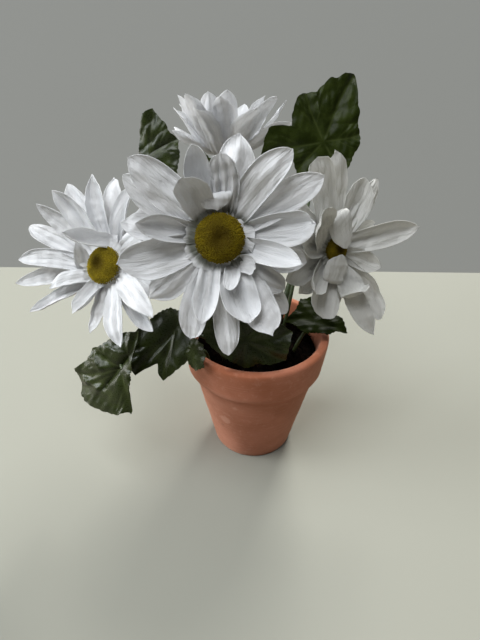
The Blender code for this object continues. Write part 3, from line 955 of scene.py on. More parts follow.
@dataclass
class FlowerHead:
    """A flower head: three petal sheets, a beaded centre, a calyx and a stem."""

    name: str
    plan: HeadPlan
    seed: int
    step: float = 0.8
    least_gap: float = 21.0
    hub_radius: float = 6.0
    hub_overlap: float = 0.6
    round_sides: int = 48
    root: float = 3.1
    widest: float = 0.56
    flare: float = 0.6
    least_width: float = 0.12
    cloth: float = 0.22
    crumple: float = 0.55
    crumple_size: float = 15.0
    side_folds: Pair = (-0.55, 0.55)
    rows: int = 38
    columns: int = 18
    throat: float = 15.0
    throat_turns: int = 120
    throat_rings: int = 14
    throat_pleats: int = 23
    most_curl: float = 50.0
    least_length: float = 20.0
    # how strong the grey ring by the centre is, dust with painted shade
    ring: float = 1.0
    centre_radius: float = 10.2
    dome: float = 5.2
    dimple: float = 0.35
    button: float = 4.0
    beads: int = 1300
    bead: float = 0.30
    calyx_radius: float = 6.1
    calyx_height: float = 9.0
    calyx_gap: float = 0.55
    calyx_sides: int = 80
    sepals: int = 5
    stem_radius: float = 1.6
    stem_splay: float = 0.02
    silk: Silk = Silk("silk_white", "petal")
    flock: Flock = Flock("flock_mustard", "centre")
    plastic: StemPlastic = StemPlastic("plastic_green", "stem")

    def build(self) -> None:
        """Builds and dresses the head's pieces."""
        for sheet in Sheet:
            self.petal_sheet(sheet)
        self.centre()
        self.calyx()
        self.stem()

    @property
    def hub(self) -> np.ndarray:
        """The middle of the head's back sheet, in mm."""
        return np.asarray(self.plan.hub, float)

    def spread(self, petals: Sequence[Petal]) -> list[tuple[Petal, float]]:
        """Finds where each petal leaves the hub, its neighbours spread to a least angle.

        Args:
            petals: The petals of one sheet.

        Returns:
            Each petal with its root's angle.
        """
        rounds, least = 400, self.least_gap
        order = sorted(petals, key=lambda petal: petal.clock)
        base = [petal.clock for petal in order]
        for _ in range(rounds):
            for here in range(len(base)):
                after = (here + 1) % len(base)
                gap = base[after] - base[here] + (360.0 if after == 0 else 0.0)
                if gap < least:
                    base[here] -= (least - gap) / 2
                    base[after] += (least - gap) / 2
        return [(petal, given if petal.root is None else petal.root) for petal, given in zip(order, base)]

    def half_width(self, share: np.ndarray, petal: Petal) -> np.ndarray:
        """Half a petal's width along its length; near the hub it meets its neighbours.

        Args:
            share: Shares of its length.
            petal: The petal.

        Returns:
            The half width in mm at each.
        """
        half = petal.width / 2
        spread = 1.0 - math.exp(-self.widest * petal.length * self.flare / half)
        grown = 1.0 - np.exp(-share * petal.length * self.flare / half)
        grow = self.root + (half - self.root) * grown / spread
        past = np.clip((share - self.widest) / (1 - self.widest), 0, 1)
        rounding, closing = 2.0 + 2.0 * petal.blunt, 0.95 - 0.5 * petal.blunt
        fall = half * np.maximum(1 - past ** rounding, 0.0) ** closing
        return np.maximum(np.where(share < self.widest, grow, fall), self.least_width)

    def petal_path(self, petal: Petal, base: float, rise: float,
                   chance: np.random.RandomState) -> tuple[np.ndarray, ...]:
        """The line down a petal's middle.

        Args:
            petal: The petal.
            base: The angle of its root, in degrees.
            rise: Its sheet's place on the head's axis, in mm.
            chance: The head's random numbers.

        Returns:
            For each row its share of the length, place, and the ways along, aside and out.
        """
        up, right, forward = axes(self.plan.facing)
        fine = 4  # steps to a row, so that a sharp bend keeps its length
        share = np.linspace(0, 1, self.rows * fine + 1)
        tip, sway = petal.drawn("tip", chance), petal.drawn("sway", chance)
        slope = np.radians(petal.lift * ease(share / 0.25) + petal.curl * share ** 2
                           + tip * ease((share - petal.fold) / 0.3))
        turned = ease(share / 0.4) if petal.start is None else 1.0
        turn = np.radians(base + (petal.clock - base) * turned
                          + sway * np.cos(share * math.pi) * ease(share / 0.3))
        radial = np.cos(turn)[:, None] * up + np.sin(turn)[:, None] * right
        along = np.cos(slope)[:, None] * radial + np.sin(slope)[:, None] * forward
        path = np.zeros((len(share), 3))
        start = self.hub_radius if petal.start is None else petal.start
        leaving = math.cos(math.radians(base)) * up + math.sin(math.radians(base)) * right
        path[1:] = np.cumsum((along[1:] + along[:-1]) / 2, 0) * petal.length / (self.rows * fine)
        path += self.hub + rise * forward + start * leaving
        level = -np.sin(turn)[:, None] * up + np.cos(turn)[:, None] * right
        out = -np.sin(slope)[:, None] * radial + np.cos(slope)[:, None] * forward
        roll = np.radians(petal.twist) * ease(share)[:, None]
        side = np.cos(roll) * level + np.sin(roll) * out
        normal = np.cos(roll) * out - np.sin(roll) * level
        return tuple(given[::fine] for given in (share, path, along, side, normal))

    def pressing(self, petal: Petal, share: np.ndarray, across: np.ndarray, half: np.ndarray,
                 chance: np.random.RandomState) -> tuple[np.ndarray, np.ndarray]:
        """What the mould pressed into a petal.

        Args:
            petal: The petal.
            share: Each point's share of its length.
            across: Each point's place across it, from -1 to 1.
            half: Half its width there, in mm.
            chance: The head's random numbers.

        Returns:
            The height of its three long folds and of its fine pleats, in mm.
        """
        soft, fold_width = 0.004, 0.14
        wander = 0.16 * np.sin(share * chance.uniform(2, 5) + chance.uniform(0, math.tau))
        folds = (1.0 - np.sqrt((across - wander) ** 2 + soft)) * half * petal.drawn("ridge", chance)
        for place in self.side_folds:
            nearby = np.exp(-((across - place - wander) / fold_width) ** 2)
            folds = folds + chance.uniform(-0.4, 0.4) * nearby
        pleats = np.cos(across * math.pi * chance.uniform(1.7, 3.2) * (1.0 + 0.3 * wander)
                        + chance.uniform(0, math.tau) + share * chance.uniform(-1.5, 1.5))
        pleats = pleats * petal.drawn("pleat", chance) * (1.0 - 0.6 * ease((share - 0.45) / 0.5))
        return folds, pleats

    def edging(self, share: np.ndarray, across: np.ndarray,
               chance: np.random.RandomState) -> tuple[np.ndarray, np.ndarray]:
        """How a petal's long edges stand out.

        Args:
            share: Each point's share of its length.
            across: Each point's place across it, from -1 to 1.
            chance: The head's random numbers.

        Returns:
            The height of its wavy hem and of its rolled lips, in mm.
        """
        hem = chance.uniform(0.1, 0.6) * np.abs(across) ** 3 * np.sin(
            share * chance.uniform(6, 12) + across * 1.5 + chance.uniform(0, math.tau))
        left_lip, right_lip = chance.uniform(-0.5, 1.7), chance.uniform(-0.5, 1.7)
        lip = np.where(across < 0, left_lip, right_lip)
        return hem, lip * ease((np.abs(across) - 0.78) / 0.3) ** 2

    def petal_piece(self, petal: Petal, base: float, rise: float,
                    chance: np.random.RandomState) -> bpy.types.Object:
        """Shapes a grid into one pressed petal.

        Args:
            petal: The petal.
            base: The angle of its root, in degrees.
            rise: Its sheet's place on the head's axis, in mm.
            chance: The head's random numbers.

        Returns:
            The petal's sheet mesh, not yet thickened.
        """
        piece, column, row = flat_grid(self.columns, self.rows)
        share, path, along, side, normal = self.petal_path(petal, base, rise, chance)
        half = self.half_width(share, petal)[row]
        share = share[row]
        across = 2.0 * column / self.columns - 1.0

        # its cup bows it across, more on one side where it is skewed
        skew = petal.drawn("skew", chance)
        bend = np.radians(petal.cup) * (1.0 + skew * np.sign(across)) * ease(share / 0.35) + TINY
        out = half * np.sin(bend * across) / bend
        raised = half * (1 - np.cos(bend * across)) / bend

        # what is pressed into it dies away at the root and at the tip
        body = ease(share / 0.12) * ease((1.0 - share) / 0.15)
        folds, pleats = self.pressing(petal, share, across, half, chance)
        flat = np.stack([across * half + chance.uniform(0, 99), share * petal.length, 0.0 * share], axis=1)
        crumple = self.crumple * ripple(flat, int(chance.randint(999)), self.crumple_size)
        crumple = crumple * ease(share / 0.3)
        hem, lip = self.edging(share, across, chance)
        raised = raised + (folds + pleats + hem + lip) * body + crumple

        # the tip is scalloped, and leans a little to one side
        lobes = np.cos(across * math.pi * chance.choice([1.0, 1.5, 2.0]) + chance.uniform(0, math.tau))
        stretch = chance.uniform(0.2, 1.0) * (0.3 + petal.blunt) * lobes * ease((share - 0.75) / 0.25)
        lean = chance.uniform(-0.22, 0.22) * petal.width / 2
        out = out + lean * ease((share - 0.55) / 0.45) ** 2
        place = path[row] + out[:, None] * side[row] + raised[:, None] * normal[row]
        write_points(piece, place + stretch[:, None] * along[row])
        write_uvs(piece, flat[:, :2])

        # materials read its folds for painted valley shade, and its nearness to the centre for a ring of dust
        # and painted shade
        write_mask(piece, "fold", np.clip(pleats * 2.0 + folds * 0.4, -1, 1) * body)
        from_axis = (petal.start or self.hub_radius) + share * petal.length
        dust_and_shade_ring = 1.0 - ease((from_axis - self.centre_radius - 1.0) / 6.5)
        write_mask(piece, "root", 0.75 * self.ring * dust_and_shade_ring)
        return piece

    def hub_piece(self, rise: float) -> bpy.types.Object:
        """The flat middle that a sheet's petals grow from.

        Args:
            rise: The sheet's place on the head's axis, in mm.

        Returns:
            The disc's sheet mesh.
        """
        up, right, forward = axes(self.plan.facing)
        select_only()
        bpy.ops.mesh.primitive_circle_add(
            vertices=self.round_sides, radius=self.hub_radius + self.hub_overlap, fill_type="TRIFAN")
        piece = bpy.context.object
        flat = read_points(piece) * MM
        write_points(piece, self.hub + rise * forward + flat[:, :1] * right + flat[:, 1:2] * up)
        write_uvs(piece, flat[:, :2])
        write_mask(piece, "fold", np.zeros(len(flat)))
        # the hub takes the full grey ring of dust and painted shade
        write_mask(piece, "root", np.ones(len(flat)))
        return piece

    def petal_sheet(self, sheet: Sheet) -> None:
        """Makes one die-cut sheet of petals and gives it the thickness of cloth.

        Args:
            sheet: Which of the three it is.
        """
        chance = np.random.RandomState(self.seed * 10 + sheet.value)
        rise = sheet.value * self.step
        pieces = [self.hub_piece(rise)]
        for petal, base in self.spread(self.plan.petals[sheet]):
            pieces.append(self.petal_piece(petal, base, rise, chance))
        if sheet is Sheet.FRONT and self.throat:
            pieces.append(self.throat_piece(rise))
        whole = join(pieces)
        apply_modifier(whole, "SOLIDIFY", thickness=self.cloth * MM, offset=0.0)
        smooth(whole, CLOTH_EDGE)
        which = f"{sheet.name.lower()}_{self.name}"
        settle(whole, f"silk_{which}", self.silk, f"petals_{which}")

    def throat_slope(self, angle: np.ndarray) -> np.ndarray:
        """How steeply the throat rises towards the longer petals round it.

        Args:
            angle: Angles round the head from its top, in radians.

        Returns:
            The slope at each, in radians.
        """
        reach, least = 0.33, 0.002
        slope, weight = np.full(len(angle), TINY), np.full(len(angle), TINY)
        for sheet, share in ((Sheet.FRONT, 1.0), (Sheet.MIDDLE, 0.5)):
            for petal in self.plan.petals[sheet]:
                if petal.curl <= self.most_curl and petal.length >= self.least_length:
                    apart = (angle - math.radians(petal.clock) + math.pi) % math.tau - math.pi
                    near = share * np.exp(-(apart / reach) ** 2) + least
                    slope += near * petal.lift
                    weight += near
        return np.radians(slope / weight)

    def throat_piece(self, rise: float) -> bpy.types.Object:
        """The funnel round the centre, where the pressed petals run into one sheet.

        Its hem is looser and its pleats deeper on the head's left; its grey ring, dust with painted shade, is
        darker there as painted shade.

        Args:
            rise: The sheet's place on the head's axis, in mm.

        Returns:
            The funnel's sheet mesh, which sinks into the petals at its edge.
        """
        chance = np.random.RandomState(self.seed + THROAT_SEED)
        piece, column, row = flat_grid(self.throat_turns, self.throat_rings)
        up, right, forward = axes(self.plan.facing)
        angle = column * math.tau / self.throat_turns
        share = row / self.throat_rings
        around = np.stack([np.cos(angle), np.sin(angle), 0 * angle], axis=1)
        hem = 1.5 * ripple(around, self.seed, 1.6)
        edge = self.throat + hem + (0.28 - 0.22 * np.sin(angle)) * np.sin(angle * self.throat_pleats)
        away = self.hub_radius - 1.0 + (edge - self.hub_radius + 1.0) * share
        sink = 0.5 - (2.3 + 1.0 * np.sin(angle)) * ease((share - 0.35) / 0.65)
        depth = 0.18 * (0.55 - 0.45 * np.sin(angle))
        pleats = depth * np.sin(angle * self.throat_pleats + 2.0 * np.sin(angle * 3)) * ease(share / 0.4)
        climb = np.maximum(away - self.hub_radius, 0.0) * np.tan(self.throat_slope(angle))
        height = rise + climb + sink + pleats
        height += 0.25 * ripple(around * 6.0, self.seed + 5, 5.0)
        radial = np.cos(angle)[:, None] * up + np.sin(angle)[:, None] * right
        write_points(piece, self.hub + away[:, None] * radial + height[:, None] * forward)
        write_uvs(piece, np.stack([angle * 12.0, away + chance.uniform(0, 9)], axis=1))
        # painted shade in the throat's pleats, and its grey ring of dust and painted shade, darker on the
        # left
        write_mask(piece, "fold", pleats * 4.0)
        dust_and_shade_ring = self.ring * (0.52 - 0.34 * np.sin(angle))
        write_mask(piece, "root", dust_and_shade_ring * (1.0 - ease((away - self.centre_radius - 1.5) / 5.5)))
        close_seam(piece)
        return piece

    def head_matrix(self, along: float) -> Matrix:
        """Places something turned about Z on the head's axis.

        Args:
            along: How far before the hub, in mm.

        Returns:
            The placing matrix, in metres.
        """
        up, right, forward = axes(self.plan.facing)
        turned = Matrix(np.stack([right, up, forward], axis=1).tolist()).to_4x4()
        turned.translation = Vector((self.hub + along * forward) * MM)
        return turned

    def dome_height(self, away: float) -> float:
        """The core's height above its button at a share of its radius."""
        round_top = math.sqrt(max(1.0 - away * away, 0.0))
        return self.dome * (round_top - self.dimple * math.exp(-(away / 0.28) ** 2))

    def core(self) -> bpy.types.Object:
        """The centre's button and dome, without its beads.

        Returns:
            The turned mesh, upright at the origin.
        """
        radius, button = self.centre_radius, self.button
        steps, near_top = 12, 1.5
        profile = [(0.2, 0.0), (3.2, 0.0), (3.2, button * 0.5), (radius - 0.8, button * 0.7),
                   (radius, button)]
        for step in range(1, steps):
            away = math.cos(step / steps * near_top)
            profile.append((radius * away, button + self.dome_height(away)))
        profile.append((0.3, button + self.dome_height(0.0)))
        core = lathe(profile, self.round_sides)
        write_mask(core, "heart", np.ones(len(core.data.vertices)))
        return core

    def flocking(self) -> bpy.types.Object:
        """The beads over the dome, in a sunflower's spiral.

        Returns:
            The mesh of all beads, upright at the origin.
        """
        chance = np.random.RandomState(self.seed + CENTRE_SEED)
        select_only()
        bpy.ops.mesh.primitive_ico_sphere_add(subdivisions=1, radius=self.bead * MM)
        model = bpy.context.object
        places, hearts = [], []
        golden = math.pi * (3.0 - math.sqrt(5.0))
        past_rim, rim_drop = 1.04, 26.0
        for number in range(self.beads):
            away = math.sqrt((number + 0.5) / self.beads) * past_rim
            angle = number * golden + chance.uniform(-0.5, 0.5) / math.sqrt(number + 1.0)
            away = max(away + chance.uniform(-0.012, 0.012), 0.0)
            flat = min(away, 1.0)
            height = self.dome_height(flat) if away <= 1.0 else -(away - 1.0) * rim_drop
            across, aside = math.cos(angle) * flat, math.sin(angle) * flat
            tilt = Vector((across, aside, math.sqrt(1.05 - flat * flat)))
            place = Vector((across * self.centre_radius, aside * self.centre_radius, self.button + height))
            place += tilt * chance.uniform(-0.12, 0.38)
            size = chance.uniform(0.75, 1.2) * (0.75 + 0.35 * away)
            lean = tilt.to_track_quat("Z", "Y").to_matrix().to_4x4()
            lean.translation = place * MM
            places.append(lean @ Matrix.Diagonal((size, size, size * chance.uniform(1.0, 1.6), 1.0)))
            hearts.append(math.exp(-(away / 0.42) ** 2) + chance.uniform(0.0, 0.35))
        beads = scatter(model, places)
        to_a_bead = len(beads.data.vertices) // len(places)
        write_mask(beads, "heart", np.repeat(np.clip(hearts, 0, 1), to_a_bead))
        return beads

    def centre(self) -> None:
        """The domed centre, dipped in the middle, a little before the front sheet."""
        whole = join([self.core(), self.flocking()])
        whole.data.transform(self.head_matrix(2 * self.step + 0.6))
        smooth(whole, CLOTH_EDGE)
        settle(whole, f"disc_{self.name}", self.flock, f"centre_{self.name}")

    def calyx(self) -> None:
        """The green cup behind the petals, with its pressed sepals."""
        relief = 0.10
        top, wide = -self.calyx_gap, self.calyx_radius
        foot = top - self.calyx_height
        profile = [(0.3, foot), (1.9, foot), (2.4, foot + 0.5), (2.5, foot + 2.4), (3.0, foot + 3.4),
                   (4.3, top - 4.0), (5.4, top - 2.2), (wide, top - 0.8), (wide, top - 0.2),
                   (wide - 0.5, top), (0.3, top)]
        cup = lathe(profile, self.calyx_sides)
        points = read_points(cup)
        angle = np.arctan2(points[:, 1], points[:, 0])
        away = np.hypot(points[:, 0], points[:, 1])
        ridge = (np.abs(np.cos(angle * self.sepals)) - 0.5) * relief * ease((away - 2.0) / 3.0)
        points[:, :2] *= (1 + ridge)[:, None]
        write_points(cup, points)
        cup.data.transform(self.head_matrix(0.0))
        smooth(cup, degrees=40)
        settle(cup, f"sepals_{self.name}", self.plastic, f"calyx_{self.name}")

    def stem(self) -> None:
        """The stem, from its socket in the moss to the calyx."""
        forward = unit(self.plan.facing)
        splay = self.stem_splay
        start = unit((self.plan.foot[0] * splay, self.plan.foot[1] * splay, 1.0))
        end = self.hub - forward * (0.5 + self.calyx_height + 0.6)
        path = wire_line(self.plan.foot, start, 6.0, end, forward, pulls=(0.35, 0.30), count=40)
        radii = [self.stem_radius * (0.93 + 0.10 * math.sin(share * 17.0 + self.seed))
                 for share in np.linspace(0, 1, len(path))]
        stem = rods([(path, radii)], sides=4)
        smooth(stem, CLOTH_EDGE)
        settle(stem, f"wire_{self.name}", self.plastic, f"stem_{self.name}")


# ================================================================ the leaves


@dataclass(frozen=True)
class LeafPlan:
    """A lobed leaf: its vein hub, midrib, facing, outline, pose and stalk.

    The outline is (angle clockwise from the midrib, reach in mm) about the vein hub. A crease is a
    line in the leaf's plane, (x, y) to (x, y) in mm from the hub, and how far it stands out.
    """

    hub: Triple
    midrib: Triple
    facing: Triple
    outline: tuple[Pair, ...]
    fold: float
    droop: float
    foot: Pair
    lean: Triple
    way: Triple
    creases: tuple[tuple[float, ...], ...] = ()


@dataclass
class Leaf:
    """A pressed leaf of coated cloth on its wired stalk."""

    name: str
    plan: LeafPlan
    seed: int
    spokes: int = 180
    rings: int = 26
    cloth: float = 0.35
    teeth: float = 0.55
    teeth_round: float = 17.0
    crease: float = 0.70
    vein_width: float = 0.55
    branches: tuple[float, ...] = (0.35, 0.55, 0.75)
    press_width: float = 2.6
    uneven: float = 0.8
    wavy_edge: float = 0.5
    waves: int = 9
    stalk_radius: float = 1.1
    taper: float = 0.25
    coat: CoatedLeaf = CoatedLeaf("leaf_green", "leaf")
    plastic: StemPlastic = StemPlastic("plastic_green", "stem")

    def build(self) -> None:
        """Builds and dresses the leaf and its stalk."""
        self.blade()
        self.stalk()

    def reach(self, angles: np.ndarray) -> np.ndarray:
        """How far the outline is from the vein hub, straight between its corners.

        Args:
            angles: Angles clockwise from the midrib, in degrees.

        Returns:
            The reach in mm at each.
        """
        order = sorted((angle % 360.0, far) for angle, far in self.plan.outline)
        order = [(order[-1][0] - 360.0, order[-1][1])] + order + [(order[0][0] + 360.0, order[0][1])]
        corners = [far * np.array([math.sin(math.radians(angle)), math.cos(math.radians(angle))])
                   for angle, far in order]
        found = []
        for angle in angles % 360.0:
            after = next(here for here in range(1, len(order)) if order[here][0] >= angle)
            start, side = corners[after - 1], corners[after] - corners[after - 1]
            way = np.array([math.sin(math.radians(angle)), math.cos(math.radians(angle))])
            found.append((start[0] * side[1] - start[1] * side[0]) / (way[0] * side[1] - way[1] * side[0]))
        soft = (0.05, 0.90, 0.05)
        return sum(share * np.roll(found, step) for share, step in zip(soft, range(-1, 2)))

    def toothed(self) -> np.ndarray:
        """The outline's reach along each spoke, with its small teeth.

        Returns:
            The reach in mm.
        """
        spokes = np.arange(self.spokes)
        around = spokes * math.tau / self.spokes
        teeth = np.abs(np.sin(around * self.teeth_round + 0.7 * np.sin(around * 3.0 + self.seed))) ** 0.7
        return self.reach(spokes * 360.0 / self.spokes) + self.teeth * teeth - self.teeth * 0.6

    def veins(self, angles: np.ndarray, share: np.ndarray,
              away: np.ndarray) -> tuple[np.ndarray, np.ndarray]:
        """The veins: one from the hub to each lobe's tip, with slanting branches.

        Args:
            angles: Each point's angle from the midrib, in degrees.
            share: Its share of the reach.
            away: How far it is from the hub, in mm.

        Returns:
            How much of a vein each point is, and how deeply it is pressed, from 0 to 1.
        """
        order = sorted(self.plan.outline)
        tips = [here for before, here, after in zip(order[-1:] + order, order, order[1:] + order[:1])
                if here[1] >= before[1] and here[1] > after[1]]
        vein, press = np.zeros(len(away)), np.zeros(len(away))
        for tip, reach in tips:
            apart = (angles - tip + 180.0) % 360.0 - 180.0
            bow = 4.0 * np.sin(share * math.pi) * (1 if tip % 2 else -1)
            line = np.abs(np.radians(apart + bow)) * away
            vein = np.maximum(vein, np.exp(-(line / self.vein_width) ** 2))
            press = np.maximum(press, np.exp(-(line / self.press_width) ** 2))
            for branch in self.branches:
                over = away * np.cos(np.radians(apart)) - branch * reach
                aside = np.abs(line - 0.75 * over)
                there = (over > 0) * (line < 9)
                vein = np.maximum(vein, 0.55 * np.exp(-(aside / 0.4) ** 2) * there)
                press = np.maximum(press, 0.3 * np.exp(-(aside / 1.1) ** 2) * there)
        return vein, press

    def creasing(self, flat: np.ndarray) -> np.ndarray:
        """How the leaf stands out along the creases of its plan.

        Args:
            flat: Each point's place in the leaf's plane, in mm.

        Returns:
            The height in mm.
        """
        height = np.zeros(len(flat))
        for *line, rise in self.plan.creases:
            start, side = np.array(line[:2]), np.array(line[2:]) - np.array(line[:2])
            share = np.clip((flat[:, :2] - start) @ side / (side @ side), 0.0, 1.0)
            apart = np.linalg.norm(flat[:, :2] - start - share[:, None] * side, axis=1)
            height += rise * np.exp(-apart / (0.8 + 0.35 * abs(rise)))
        return height

    def blade(self) -> None:
        """The leaf: a round grid stretched to its outline, pressed along its veins and folded."""
        chance = np.random.RandomState(self.seed)
        piece, column, row = flat_grid(self.spokes, self.rings)
        angles = np.degrees(column * math.tau / self.spokes)
        share = (row / self.rings) ** 0.9
        away = np.where(row == 0, 0.0, self.toothed()[column % self.spokes] * share)
        across, along = np.sin(np.radians(angles)) * away, np.cos(np.radians(angles)) * away
        flat = np.stack([across, along, np.zeros(len(away))], axis=1)
        vein, press = self.veins(angles, share, away)
        fade = ease(away / 4.0)
        height = self.plan.fold * np.abs(across) - self.plan.droop * away ** 2
        height += self.crease * (0.5 - press) * fade * (0.6 + 0.09 * away)
        height += self.uneven * ripple(flat, self.seed, size=22.0) * ease(share)
        height += self.wavy_edge * np.sin(np.radians(angles) * self.waves + self.seed) * share ** 4
        height += self.creasing(flat)
        up, right, forward = axes(self.plan.facing, self.plan.midrib)
        place = np.asarray(self.plan.hub, float) + across[:, None] * right + along[:, None] * up
        write_points(piece, place + height[:, None] * forward)
        write_uvs(piece, flat[:, :2] + chance.uniform(0, 50))
        write_mask(piece, "vein", vein * fade)
        close_seam(piece)
        apply_modifier(piece, "SOLIDIFY", thickness=self.cloth * MM, offset=0.0)
        smooth(piece, CLOTH_EDGE)
        settle(piece, f"blade_{self.name}", self.coat, f"leaf_{self.name}")

    def stalk(self) -> None:
        """The wired stalk, from its socket to the back of the vein hub."""
        plan = self.plan
        forward = unit(plan.facing)
        way = unit(unit(plan.way) + 0.6 * forward)
        tilt = math.sqrt(1.0 - float(way @ forward) ** 2) + max(-plan.fold, 0.0)
        end = np.asarray(plan.hub, float) - forward * (0.25 + self.stalk_radius * tilt)
        path = wire_line(plan.foot, unit(plan.lean), 3.0, end, way, pulls=(0.3, 0.3), count=36)
        radii = [self.stalk_radius * (1.0 - self.taper * share) for share in np.linspace(0, 1, len(path))]
        stalk = rods([(path, radii)], sides=3)
        smooth(stalk, CLOTH_EDGE)
        settle(stalk, f"twig_{self.name}", self.plastic, f"stalk_{self.name}")


# ================================================================ the plan of the bush


def cut(*petals: tuple, **alike: float) -> tuple[Petal, ...]:
    """The petals cut from one sheet.

    Args:
        petals: Each petal's clock, length, width and lift, then a dictionary of what else it gives.
        alike: Values for the petals that don't give their own.

    Returns:
        The petals.
    """
    return tuple(Petal(*petal[:4], **(alike | dict(*petal[4:]))) for petal in petals)


HEADS: dict[str, HeadPlan] = {
    "front": HeadPlan(
        (-18, -19, 138.5), (0.05, -0.91, 0.41), (-4, -6),
        {
            Sheet.BACK: cut(
                (14, 37, 17, 7, dict(cup=30, ridge=0.7, tip=4, skew=0, sway=0)),
                (59, 45, 14, 9, dict(pleat=0.3)), (108, 34, 13, -2), (140, 39, 12, 0),
                (177, 45, 12, 4, dict(cup=30, blunt=0.8, ridge=0.5)),
                (229, 34, 14, 2, dict(twist=15, blunt=0.5, ridge=0.45)), (281, 36, 14, 0), (301, 41, 13, 4),
                blunt=0.45),
            Sheet.MIDDLE: cut(
                (38, 41, 14, 17, dict(pleat=0.25, ridge=0.3)),
                (84, 35, 15, 12, dict(curl=-8, cup=15, blunt=0.9, ridge=-0.3, tip=25)),
                (131, 30, 11, 8, dict(blunt=0.8)), (152, 42, 16, 11, dict(blunt=0.9, tip=22, ridge=0.2)),
                (200, 40, 13, 12, dict(blunt=0.7, pleat=0.4)), (254, 39, 17, 13, dict(sway=-4)),
                (311, 43, 16, 18, dict(ridge=0.35)),
                (342, 35, 13, 22, dict(curl=6, cup=55, blunt=0.6, ridge=-0.4)), blunt=0.45),
            Sheet.FRONT: cut(
                (0, 29, 12, 24, dict(cup=6, blunt=0.9, pleat=1.3, ridge=0, tip=0)),
                (105, 33, 11, 36, dict(curl=-10, cup=25, twist=22)),
                (96, 12, 8, 42, dict(blunt=1.3, tip=0, sway=-10, root=153, start=11.8, pleat=0.05,
                    ridge=0)),
                (165, 33, 16, 21, dict(blunt=0.8)), (189, 32, 11, 20, dict(cup=25, blunt=0.5)),
                (282, 31, 11, 22, dict(ridge=-0.4)),
                (333, 28, 14.5, 40, dict(cup=30, blunt=1, pleat=0.05, ridge=0)),
                (357, 21, 14, 22, dict(cup=0, blunt=1, tip=170, fold=0.52, ridge=0, pleat=0.1)),
                (185, 15, 7, 48, dict(cup=30, twist=-25, blunt=1, tip=0, sway=0, root=150, start=11.5,
                    pleat=0.05, ridge=0)))}),
    "left": HeadPlan(
        (-74, 1, 113), (-0.42, -0.69, 0.59), (-10, 2),
        {
            Sheet.BACK: cut(
                (338, 42, 13.2, -4, dict(blunt=0.5, pleat=0.45)),
                (313, 45, 11.4, 12, dict(pleat=0.5, sway=8)), (277, 46, 11.4, 21, dict(ridge=0.3)),
                (244, 47, 10.6, 16), (173, 28, 8.8, 3, dict(pleat=0.5)),
                (116, 41, 11.4, 14, dict(ridge=-0.4)), (65, 40, 11.4, 2), (20, 38, 11.4, -2), cup=52),
            Sheet.MIDDLE: cut(
                (332, 41, 12, 12, dict(pleat=0.4)), (295, 43, 11.4, 24, dict(pleat=0.3)),
                (257, 43, 11.4, 27, dict(pleat=0.3)), (219, 40, 8.8, 22),
                (135, 41, 11.4, 24, dict(twist=20, ridge=0.4, pleat=0.55)), (95, 38, 11.4, 12),
                (45, 38, 11.4, 10), (0, 36, 11.4, 8), cup=52),
            Sheet.FRONT: cut(
                (310, 41, 12.3, 25, dict(pleat=0.5, sway=9)), (233, 26, 9.7, 33), (189, 23, 10.6, 22),
                (108, 43, 12.3, 26, dict(twist=20, ridge=0.3, pleat=0.4)),
                (50, 22, 11, 14, dict(curl=37, cup=6, blunt=1.2, root=20, start=9.3, tip=0, sway=0,
                    ridge=0.1)),
                (240, 32, 13, 70, dict(curl=35, cup=88, twist=13, root=4, start=13.5, pleat=0.1,
                    ridge=0, tip=0, sway=0, skew=0)),
                (357, 23, 8.5, 32, dict(curl=16, cup=50, twist=-36, blunt=0.1, root=224, start=15.5,
                    pleat=0.5, ridge=0, tip=0, sway=0, skew=0)),
                cup=52)}),
    "right": HeadPlan(
        (38, 12, 119), (0.55, -0.78, 0.3), (9, 3),
        {
            Sheet.BACK: cut(
                (5, 40, 16, 6, dict(cup=14, blunt=1.7, tip=10, pleat=0.1, ridge=0.2)), (56, 46, 12, -4),
                (80, 28, 10, -6), (149, 47, 14, 8, dict(cup=30, blunt=0.7)), (190, 26, 13, 2),
                (238, 24, 13, 0), (290, 38, 13, -2)),
            Sheet.MIDDLE: cut(
                (344, 43, 15, 15, dict(blunt=1.4, tip=0)), (42, 35, 18, 3),
                (89, 47, 14, 15, dict(cup=30, pleat=0.4, ridge=-0.3)), (120, 27, 12, 8, dict(cup=30)),
                (166, 47, 14, 15, dict(ridge=0.3)), (212, 30, 20, 14, dict(blunt=1)), (262, 30, 15, 12),
                (315, 38, 13, 8)),
            Sheet.FRONT: cut(
                (238, 26, 13, 24),
                (171, 30, 19, 16, dict(cup=40, blunt=0.9, tip=105, fold=0.55, ridge=0, pleat=0.05,
                    skew=0, sway=0)),
                (352, 34, 14, 15, dict(cup=15, blunt=1, tip=165, fold=0.3, sway=0, pleat=0.03, ridge=0)),
                (330, 26, 10, 36), (292, 26, 13, 26),
                (336, 31, 16, 30, dict(curl=15, cup=25, blunt=0.6, tip=0, sway=4, root=274, start=7.5,
                    ridge=0.1)),
                (205, 28, 15, 14, dict(cup=15, blunt=1, tip=165, fold=0.3, sway=0, pleat=0.03, ridge=0)))}),
    "back": HeadPlan(
        (-19, 75, 149), (0, 0.3, 0.95), (-2, 10),
        {
            Sheet.BACK: cut(
                (20, 38, 13, 38, dict(cup=40)), (70, 28, 13, 24), (115, 34, 13, 30), (160, 40, 13, 36),
                (205, 40, 13, 38), (245, 40, 13, 32), (290, 38, 17, 34), (335, 39, 14, 38, dict(cup=30)),
                blunt=0.45),
            Sheet.MIDDLE: cut(
                (0, 38, 14, 50, dict(cup=40)), (32, 41, 13, 47, dict(cup=40)), (85, 34, 13, 54),
                (135, 40, 13, 46), (180, 42, 13, 48), (225, 42, 13, 48), (268, 42, 13, 46),
                (314, 42, 15, 47, dict(cup=30)), blunt=0.45),
            Sheet.FRONT: cut(
                (356, 37, 13, 61), (20, 36, 13, 60), (65, 37, 13, 60), (110, 36, 13, 60), (155, 38, 13, 60),
                (205, 38, 13, 60), (255, 36, 13, 60), (305, 36, 13, 60), blunt=0.45)}),
}

